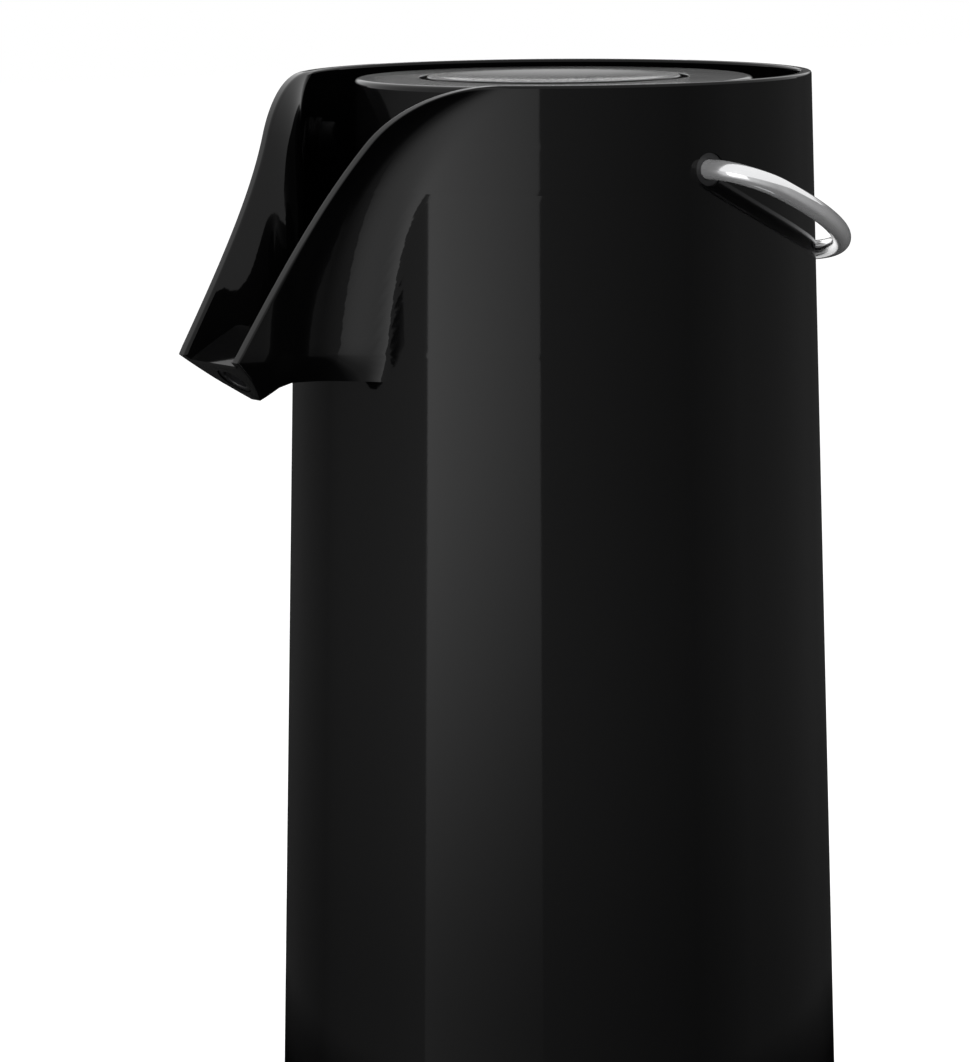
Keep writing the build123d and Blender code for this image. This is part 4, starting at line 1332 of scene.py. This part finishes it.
@dataclass
class PumpButton:
    """The dished button in the middle of the pump head.

    Attributes:
        hub: Radius and foot of the hub under the button.
    """

    radius: float = 37.1
    height: float = 368.9
    dish: float = 0.8
    border: float = 3.1
    edge_round: float = 0.6
    wall: float = 2.2
    foot: float = 342.46
    under: float = 364.9
    hub: tuple[float, float] = (8.0, 360.4)
    dish_steps: int = 24
    turns: int = 200

    def build(self) -> bpy.types.Object:
        """Builds the button as one turned piece.

        Returns:
            The button's object.
        """
        reach = self.radius - self.border
        shares = np.linspace(0, 1, self.dish_steps)
        return lathe("button", soften([
            *((reach * t, self.height - self.dish * (1 - t**2), 0.0) for t in shares),
            (self.radius, self.height, self.edge_round),
            (self.radius, self.foot, 0.3),
            (self.radius - self.wall, self.foot, 0.3),
            (self.radius - self.wall, self.under, 0.6),
            (self.hub[0], self.under, 0.6),
            (self.hub[0], self.hub[1], 0.3),
            (0.0, self.hub[1], 0.0),
        ]), self.turns)


@dataclass
class CarryingBail:
    """The wire bail: a wide arc with an elbow at each end that turns in to its pivot.

    Attributes:
        rest: Angle in radians at which it hangs below level.
        elbow_side: Distance of an elbow's centre from the middle plane.
        elbow_angle: Where the elbow goes over into the arc.
        end: Where the straight end starts, and end_steps its points, end_step apart.
    """

    wire: float = 2.85
    sides: int = 40
    sharp: float = 40.0
    pivot_height: float = 345.6
    rest: float = 0.377
    arc_radius: float = 93.5
    arc_centre: float = -8.0
    elbow_radius: float = 11.5
    elbow_side: float = 79.648
    elbow_angle: float = 13.757
    end: float = 64.394
    end_step: float = 2.0
    end_steps: int = 7
    elbow_steps: int = 16
    arc_steps: int = 120

    def path(self) -> np.ndarray:
        """Centre line of the wire in space, from the left pivot to the right one.

        Returns:
            Points in millimetres.
        """
        def arc(x, y, radius, start, end, steps) -> list[tuple[float, float]]:
            """Points of a flat arc between two angles in degrees."""
            turns = np.radians(np.linspace(start, end, steps))
            return [(x + radius * math.cos(a), y + radius * math.sin(a)) for a in turns]

        side, small, angle = self.elbow_side, self.elbow_radius, self.elbow_angle
        ends = [self.end + self.end_step * k for k in range(self.end_steps)]
        flat = np.array([
            *((-x, 0.0) for x in ends),
            *arc(-side, small, small, 270.0, 180.0 - angle, self.elbow_steps),
            *arc(0.0, self.arc_centre, self.arc_radius, 180.0 - angle, angle, self.arc_steps)[1:],
            *arc(side, small, small, angle, -90.0, self.elbow_steps)[1:],
            *((x, 0.0) for x in reversed(ends)),
        ])
        down = flat[:, 1]
        return np.stack(
            [flat[:, 0], down * math.cos(self.rest), self.pivot_height - down * math.sin(self.rest)], 1
        )

    def sweep_group(self, material: bpy.types.Material) -> bpy.types.NodeTree:
        """Geometry nodes that draw a round wire along a line.

        Args:
            material: Finish of the wire.

        Returns:
            The node group, with the wire's radius and the number of its sides as inputs.
        """
        group, entry, leave = new_group(
            "wire_sweep",
            [
                ("Line", "NodeSocketGeometry", None),
                ("Wire Radius", "NodeSocketFloat", self.wire * MM),
                ("Sides", "NodeSocketInt", self.sides),
            ],
            [("Wire", "NodeSocketGeometry")],
            "GeometryNodeTree",
        )
        line = group.nodes.new("GeometryNodeMeshToCurve")
        circle = group.nodes.new("GeometryNodeCurvePrimitiveCircle")
        tube = fill(group.nodes.new("GeometryNodeCurveToMesh"), {"Fill Caps": True})
        real = group.nodes.new("GeometryNodeRealizeInstances")
        paint = fill(group.nodes.new("GeometryNodeSetMaterial"), {"Material": material})
        join(
            group,
            (entry, "Line", line, "Mesh"),
            (entry, "Sides", circle, "Resolution"),
            (entry, "Wire Radius", circle, "Radius"),
            (line, "Curve", tube, "Curve"),
            (circle, "Curve", tube, "Profile Curve"),
            (tube, "Mesh", real, "Geometry"),
            (real, "Geometry", paint, "Geometry"),
            (paint, "Geometry", leave, "Wire"),
        )
        return group

    def build(self, material: bpy.types.Material) -> bpy.types.Object:
        """Builds the bail by sweeping its wire along its path.

        Args:
            material: Finish of the wire.

        Returns:
            The bail as one plain mesh.
        """
        line = self.path() * MM
        mesh = bpy.data.meshes.new("bail")
        mesh.from_pydata(line.tolist(), [(k, k + 1) for k in range(len(line) - 1)], [])
        piece = add_object("bail", mesh)
        piece.modifiers.new("sweep", "NODES").node_group = self.sweep_group(material)
        settle(piece)
        mend(piece.data, normals=True)
        smooth_faces(piece.data, self.sharp)
        return piece


@dataclass
class SpoutNozzle:
    """The short dark nozzle in the beak's end face.

    Attributes:
        tip: Forward place and height of the beak's tip.
        drop: How far below the tip the nozzle sits, along the end face.
    """

    tip: tuple[float, float] = (119.4, 293.93)
    face_angle: float = 39.0
    drop: float = 11.0
    radius: float = 5.4
    bore: float = 3.7
    recess: float = 0.4
    length: float = 3.0
    turns: int = 72

    def build(self) -> bpy.types.Object:
        """Builds the nozzle square to the end face.

        Returns:
            The nozzle's object.
        """
        down, inward = face_axes(self.face_angle)
        origin = np.array([0.0, -self.tip[0], self.tip[1]]) + down * self.drop

        def place(points: np.ndarray) -> np.ndarray:
            """Moves the nozzle from the Z axis to the outlet."""
            return origin + points[:, 0:1] * ACROSS + points[:, 1:2] * down + points[:, 2:3] * inward

        near, far = self.recess, self.recess + self.length
        return lathe("nozzle", soften([
            (self.bore, near, 0.5), (self.radius, near, 0.3), (self.radius, far, 0.2),
            (self.bore, far, 0.1),
        ]), self.turns, place)


@dataclass
class PivotCaps:
    """The dark caps that hold the ends of the bail inside the wall."""

    height: float = 345.6
    inner: float = 63.9
    outer: float = 71.2
    radius: float = 5.4
    turns: int = 48

    def cap(self, side: Side) -> bpy.types.Object:
        """Builds one cap.

        Args:
            side: Its side of the jug.

        Returns:
            The cap's object.
        """
        def place(points: np.ndarray) -> np.ndarray:
            """Moves the cap from the Z axis to its pivot."""
            return np.stack([side.value * points[:, 2], points[:, 0], self.height + points[:, 1]], 1)

        return lathe(f"cap_{side.name.lower()}", soften([
            (0.0, self.inner, 0.0), (self.radius, self.inner, 1.2), (self.radius, self.outer, 0.2),
            (0.0, self.outer, 0.0),
        ]), self.turns, place)

    def build(self) -> bpy.types.Object:
        """Builds both caps as one piece.

        Returns:
            The caps' object.
        """
        first, second = (self.cap(side) for side in Side)
        both = bmesh.new()
        both.from_mesh(first.data)
        both.from_mesh(second.data)
        both.to_mesh(first.data)
        both.free()
        bpy.data.objects.remove(second)
        first.name = "pivot_caps"
        return first


@dataclass
class FootPad:
    """The round rubber pad under the base, with rings that grip the table."""

    radius: float = 70.0
    thickness: float = 2.5
    edge: float = 0.6
    border: float = 4.0
    rings: int = 6
    ring_depth: float = 0.5
    ring_width: float = 2.4
    ring_slant: float = 0.3
    pitch: float = 8.5
    turns: int = 120

    def build(self) -> bpy.types.Object:
        """Builds the pad as one turned piece with grooves in its underside.

        Returns:
            The pad's object.
        """
        corners = [
            (0.0, self.thickness, 0.0), (self.radius, self.thickness, 0.2), (self.radius, 0.0, self.edge),
        ]
        for k in range(self.rings):
            outer = self.radius - self.border - self.pitch * k
            inner = outer - self.ring_width
            corners += [
                (outer, 0.0, 0.2), (outer - self.ring_slant, self.ring_depth, 0.15),
                (inner + self.ring_slant, self.ring_depth, 0.15), (inner, 0.0, 0.2),
            ]
        corners.append((0.0, 0.0, 0.0))
        return lathe("pad", soften(corners, 3), self.turns)


@dataclass(frozen=True)
class Follower:
    """A bellows or spring that shortens with a joint, standing for its own CAD node.

    Attributes:
        node: CAD node whose shape it has at rest.
        joint: Joint that shortens it, which slides along Z. Not used.
    """

    node: str
    joint: str

    def build(self) -> bpy.types.Object:
        """Makes the piece from a merged copy of the node's mesh.

        Returns:
            The new object, in metres.
        """
        piece = add_object(f"{self.node}_piece", frame["nodes"][self.node].data.copy())
        mend(piece.data, merge=True)
        return piece

    def follow(self, piece: bpy.types.Object) -> None:
        """Gives the dressed piece its own copy of its mesh.

        Args:
            piece: The piece that build() made.
        """
        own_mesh(piece)


# Studio


@dataclass(frozen=True)
class Card:
    """One curved card of the reflection ring, between two angles from the camera.

    Attributes:
        start: Angle at which it starts, and end at which it ends.
        first: Its brightness at the start, and last at the end.
        low: Share of that brightness at its foot, which grows by gain up to the height full.
    """

    start: float
    end: float
    first: float
    last: float
    low: float = 0.65
    full: float = 0.17
    gain: float = 0.35

    def column(self, turn: float, studio: "Studio") -> list[tuple[float, float, float]]:
        """Points of the card at one angle, from the floor before it to its top.

        Args:
            turn: The angle from the camera.
            studio: Sizes of the ring.

        Returns:
            Distance from the axis, height and brightness of each point, in metres.
        """
        bright = self.first + (self.last - self.first) * (turn - self.start) / (self.end - self.start)
        column = [
            (reach, studio.lift, share * self.low * bright) for reach, share in studio.foot_levels
        ]
        for height in np.linspace(0.0, studio.ring_top, studio.ring_steps):
            level = self.low + self.gain * smooth(min(1.0, height / self.full))
            column.append((studio.ring_radius, height + studio.lift, bright * level))
        return column


@dataclass(frozen=True)
class Tier:
    """A band of the ring above its cards, with a level at each of its heights."""

    start: float
    end: float
    heights: tuple[float, ...]
    levels: tuple[float, ...]

    def column(self, turn: float, studio: "Studio") -> list[tuple[float, float, float]]:
        """Points of the band at one angle, which are the same at each.

        Args:
            turn: The angle from the camera. Not used.
            studio: Sizes of the ring.

        Returns:
            Distance from the axis, height and brightness of each point, in metres.
        """
        return [(studio.ring_radius, height, level) for height, level in zip(self.heights, self.levels)]


def swing(first: Vector, second: Vector, degrees: float) -> tuple[Vector, Vector]:
    """Turns two axes in the plane that they span.

    Args:
        first: Axis that turns towards the second.
        second: Axis that turns away from the first.
        degrees: How far they turn.

    Returns:
        Both turned axes.
    """
    a = math.radians(degrees)
    return first * math.cos(a) + second * math.sin(a), second * math.cos(a) - first * math.sin(a)


@dataclass(frozen=True)
class Studio:
    """Floor, lamps, reflection cards and camera of the picture.

    Attributes:
        azimuth: Angle of the camera from the beak.
        rise: How far the camera stands above the rim.
        foot_levels: Distance from the axis and share of a card's foot for the rings on the floor.
        ring_radius: Radius of the cards in metres, as are the other sizes of the ring.
    """

    rim: float = 370.0
    azimuth: float = 54.7
    distance: float = 1500.0
    rise: float = 79.2
    pitch: float = 8.13
    yaw: float = 0.803
    roll: float = -0.435
    lens: float = 190.6
    sensor: float = 36.0
    ring_radius: float = 0.5
    ring_top: float = 0.385
    ring_steps: int = 15
    foot_levels: tuple[tuple[float, float], ...] = ((0.1, 0.0), (0.36, 0.1), (0.44, 0.5))
    lift: float = 0.0005
    turn_step: float = 3.0
    daylight: float = 0.55
    floor_half: float = 6.0
    floor_tone: float = 0.8
    floor_glow: float = 0.62
    aim_height: float = 0.2
    cards: tuple[Card, ...] = (
        Card(-172.0, -108.0, 0.0, 0.15),
        Card(-108.0, -52.5, 0.15, 0.70),
        Card(-52.5, -5.9, 1.95, 1.05, low=0.35, full=0.28, gain=1.1),
        Card(-5.9, 55.4, 0.50, 0.245),
        Card(55.4, 80.5, 0.245, 0.33),
        Card(80.5, 140.0, 0.33, 0.07),
        Card(140.0, 174.0, 0.07, 0.0),
        Card(174.0, 188.0, 1.1, 1.1, low=0.35, full=0.28, gain=1.1),
    )
    tiers: tuple[Tier, ...] = (
        Tier(130.0, 230.0, (0.385, 0.396, 0.41, 0.44), (0.04, 0.1, 0.25, 0.7)),
    )

    def build(self) -> None:
        """Puts up the world, the floor, the cards, the lamps and the camera."""
        self.build_world()
        self.build_floor()
        self.build_ring()
        self.build_lamps()
        self.build_camera()

    @staticmethod
    def seen_directly(tree: bpy.types.NodeTree) -> bpy.types.Node:
        """Adds nodes that are 1 for camera, glossy and transmission rays.

        Args:
            tree: Tree of the material or world.

        Returns:
            The node whose value is the mask.
        """
        path = tree.nodes.new("ShaderNodeLightPath")
        first, mask = tree.nodes.new("ShaderNodeMath"), tree.nodes.new("ShaderNodeMath")
        first.operation = mask.operation = "MAXIMUM"
        join(
            tree,
            (path, "Is Camera Ray", first, 0),
            (path, "Is Glossy Ray", first, 1),
            (first, "Value", mask, 0),
            (path, "Is Transmission Ray", mask, 1),
        )
        return mask

    def build_world(self) -> None:
        """White to the eye and in reflections, and a soft even daylight on the jug."""
        world = bpy.data.worlds.new("studio")
        bpy.context.scene.world = world
        tree = bare_tree(world)
        out = tree.nodes.new("ShaderNodeOutputWorld")
        shown = fill(tree.nodes.new("ShaderNodeBackground"), {"Strength": 1.0, "Color": WHITE})
        light = fill(tree.nodes.new("ShaderNodeBackground"), {"Strength": self.daylight, "Color": WHITE})
        mix = tree.nodes.new("ShaderNodeMixShader")
        join(
            tree,
            (self.seen_directly(tree), "Value", mix, "Fac"),
            (light, "Background", mix, 1),
            (shown, "Background", mix, 2),
            (mix, "Shader", out, "Surface"),
        )

    def build_floor(self) -> None:
        """A wide pale floor that looks white where no shadow falls on it."""
        mesh = bpy.data.meshes.new("floor")
        size = self.floor_half
        corners = [(-size, -size, 0), (size, -size, 0), (size, size, 0), (-size, size, 0)]
        mesh.from_pydata(corners, [], [(0, 1, 2, 3)])
        floor = add_object("floor", mesh)
        material = bpy.data.materials.new("floor_white")
        tree = bare_tree(material)
        out = tree.nodes.new("ShaderNodeOutputMaterial")
        matt = fill(tree.nodes.new("ShaderNodeBsdfDiffuse"), {"Color": (*(self.floor_tone,) * 3, 1.0)})
        glow = tree.nodes.new("ShaderNodeEmission")
        lift = fill(tree.nodes.new("ShaderNodeMath"), {1: self.floor_glow})
        lift.operation = "MULTIPLY"
        total = tree.nodes.new("ShaderNodeAddShader")
        join(
            tree,
            (self.seen_directly(tree), "Value", lift, 0),
            (lift, "Value", glow, "Strength"),
            (matt, "BSDF", total, 0),
            (glow, "Emission", total, 1),
            (total, "Shader", out, "Surface"),
        )
        mesh.materials.append(material)

    @staticmethod
    def toward(azimuth: float, elevation: float) -> Vector:
        """Unit vector from the jug towards a viewing direction.

        Args:
            azimuth: Angle from the beak, in degrees.
            elevation: Angle above the floor, in degrees.

        Returns:
            The vector.
        """
        a, e = math.radians(azimuth), math.radians(elevation)
        return Vector((math.sin(a) * math.cos(e), -math.cos(a) * math.cos(e), math.sin(e)))

    def build_ring(self) -> None:
        """Cards round the jug that only its gloss sees, with dark ones on the floor before them."""
        points, faces, glow = [], [], []
        for band in (*self.cards, *self.tiers):
            count = max(3, int((band.end - band.start) / self.turn_step))
            start = len(points)
            for turn in np.linspace(band.start, band.end, count):
                outward = self.toward(self.azimuth + turn, 0.0)
                column = band.column(turn, self)
                for reach, height, level in column:
                    points.append((outward.x * reach, outward.y * reach, height))
                    glow.append(level)
            rows = len(column)
            for k in range(count - 1):
                for j in range(rows - 1):
                    a = start + k * rows + j
                    faces.append((a, a + rows, a + rows + 1, a + 1))
        mesh = bpy.data.meshes.new("cards")
        mesh.from_pydata(points, [], faces)
        mesh.attributes.new("glow", "FLOAT", "POINT").data.foreach_set("value", glow)
        ring = add_object("cards", mesh)
        material = bpy.data.materials.new("card_glow")
        tree = bare_tree(material)
        out = tree.nodes.new("ShaderNodeOutputMaterial")
        level = tree.nodes.new("ShaderNodeAttribute")
        level.attribute_name = "glow"
        light = tree.nodes.new("ShaderNodeEmission")
        join(tree, (level, "Fac", light, "Strength"), (light, "Emission", out, "Surface"))
        mesh.materials.append(material)
        ring.visible_camera = False
        ring.visible_diffuse = False
        ring.visible_transmission = False
        ring.visible_volume_scatter = False
        ring.visible_shadow = False

    def add_lamp(
        self, name: str, azimuth: float, elevation: float, size: tuple[float, float],
        power: float, distance: float,
    ) -> None:
        """Adds one area lamp that faces the jug and that its gloss doesn't see.

        Args:
            name: Name of the lamp.
            azimuth: Its angle from the camera, in degrees.
            elevation: Its angle above the floor, in degrees.
            size: Its width and height.
            power: Its power in watts.
            distance: Its distance from the jug.
        """
        lamp = bpy.data.lights.new(name, "AREA")
        lamp.shape = "RECTANGLE"
        lamp.size, lamp.size_y = size
        lamp.energy = power
        holder = add_object(name, lamp)
        target = Vector((0.0, 0.0, self.aim_height))
        holder.location = target + self.toward(self.azimuth + azimuth, elevation) * distance
        holder.rotation_euler = (target - holder.location).to_track_quat("-Z", "Y").to_euler()
        holder.visible_glossy = False

    def build_lamps(self) -> None:
        """A soft box to the left of the camera and a large one overhead."""
        self.add_lamp("left_box", -35, 25, (0.8, 1.2), 7, 1.6)
        self.add_lamp("top_box", 120, 65, (1.6, 1.6), 10, 1.8)

    def build_camera(self) -> None:
        """The camera, placed, tilted and turned as in the photograph."""
        camera = bpy.data.cameras.new("camera")
        camera.sensor_fit = "HORIZONTAL"
        camera.sensor_width = self.sensor
        camera.lens = self.lens
        holder = add_object("camera", camera)
        back = self.toward(self.azimuth, 0.0)
        right = self.toward(self.azimuth + 90.0, 0.0)
        up = Vector((0.0, 0.0, 1.0))
        holder.location = back * self.distance * MM + up * (self.rim + self.rise) * MM
        back, right = swing(back, right, self.yaw)
        back, up = swing(back, up, self.pitch)
        right, up = swing(right, up, self.roll)
        holder.rotation_euler = Matrix((right, up, back)).transposed().to_euler()
        bpy.context.scene.camera = holder


def main() -> None:
    """Dresses the jug and sets the scene."""
    logging.basicConfig(level=logging.INFO, format="%(message)s")
    bpy.context.scene.view_settings.view_transform = "Standard"
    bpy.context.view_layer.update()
    finishes = Finishes()
    finishes.dress_nodes()
    steel = finishes.by_slot["handle_steel"]
    followers = (
        Follower("bellows", "button_press"),
        Follower("return_spring", "button_press"),
        Follower("valve_spring", "valve_open"),
    )
    pieces = (
        (BeakedShell().build(), "outer_shell", "flask", "shell_black"),
        (PumpHead().build(), "head_cap", "head_cap", "head_black"),
        (PumpButton().build(), "pump_button", "button", "button_black"),
        (CarryingBail().build(steel), "handle_bail", "handle", "handle_steel"),
        (SpoutNozzle().build(), "spout_nozzle", "flask", "inner_black"),
        (PivotCaps().build(), "handle_clips", "handle", "inner_black"),
        (FootPad().build(), "foot_pad", "flask", "rubber_black"),
        (followers[0].build(), "bellows", "pump_core", "silicone"),
        (followers[1].build(), "return_spring", "pump_core", "steel"),
        (followers[2].build(), "valve_spring", "pump_core", "steel"),
    )
    for piece, node, body, slot in pieces:
        finishes.dress(piece, slot)
        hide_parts(node)
        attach(piece, body)
        report_open_edges(piece)
    for follower, (piece, *_) in zip(followers, pieces[-len(followers) :]):
        follower.follow(piece)
    Studio().build()


if __name__ == "__main__":
    main()
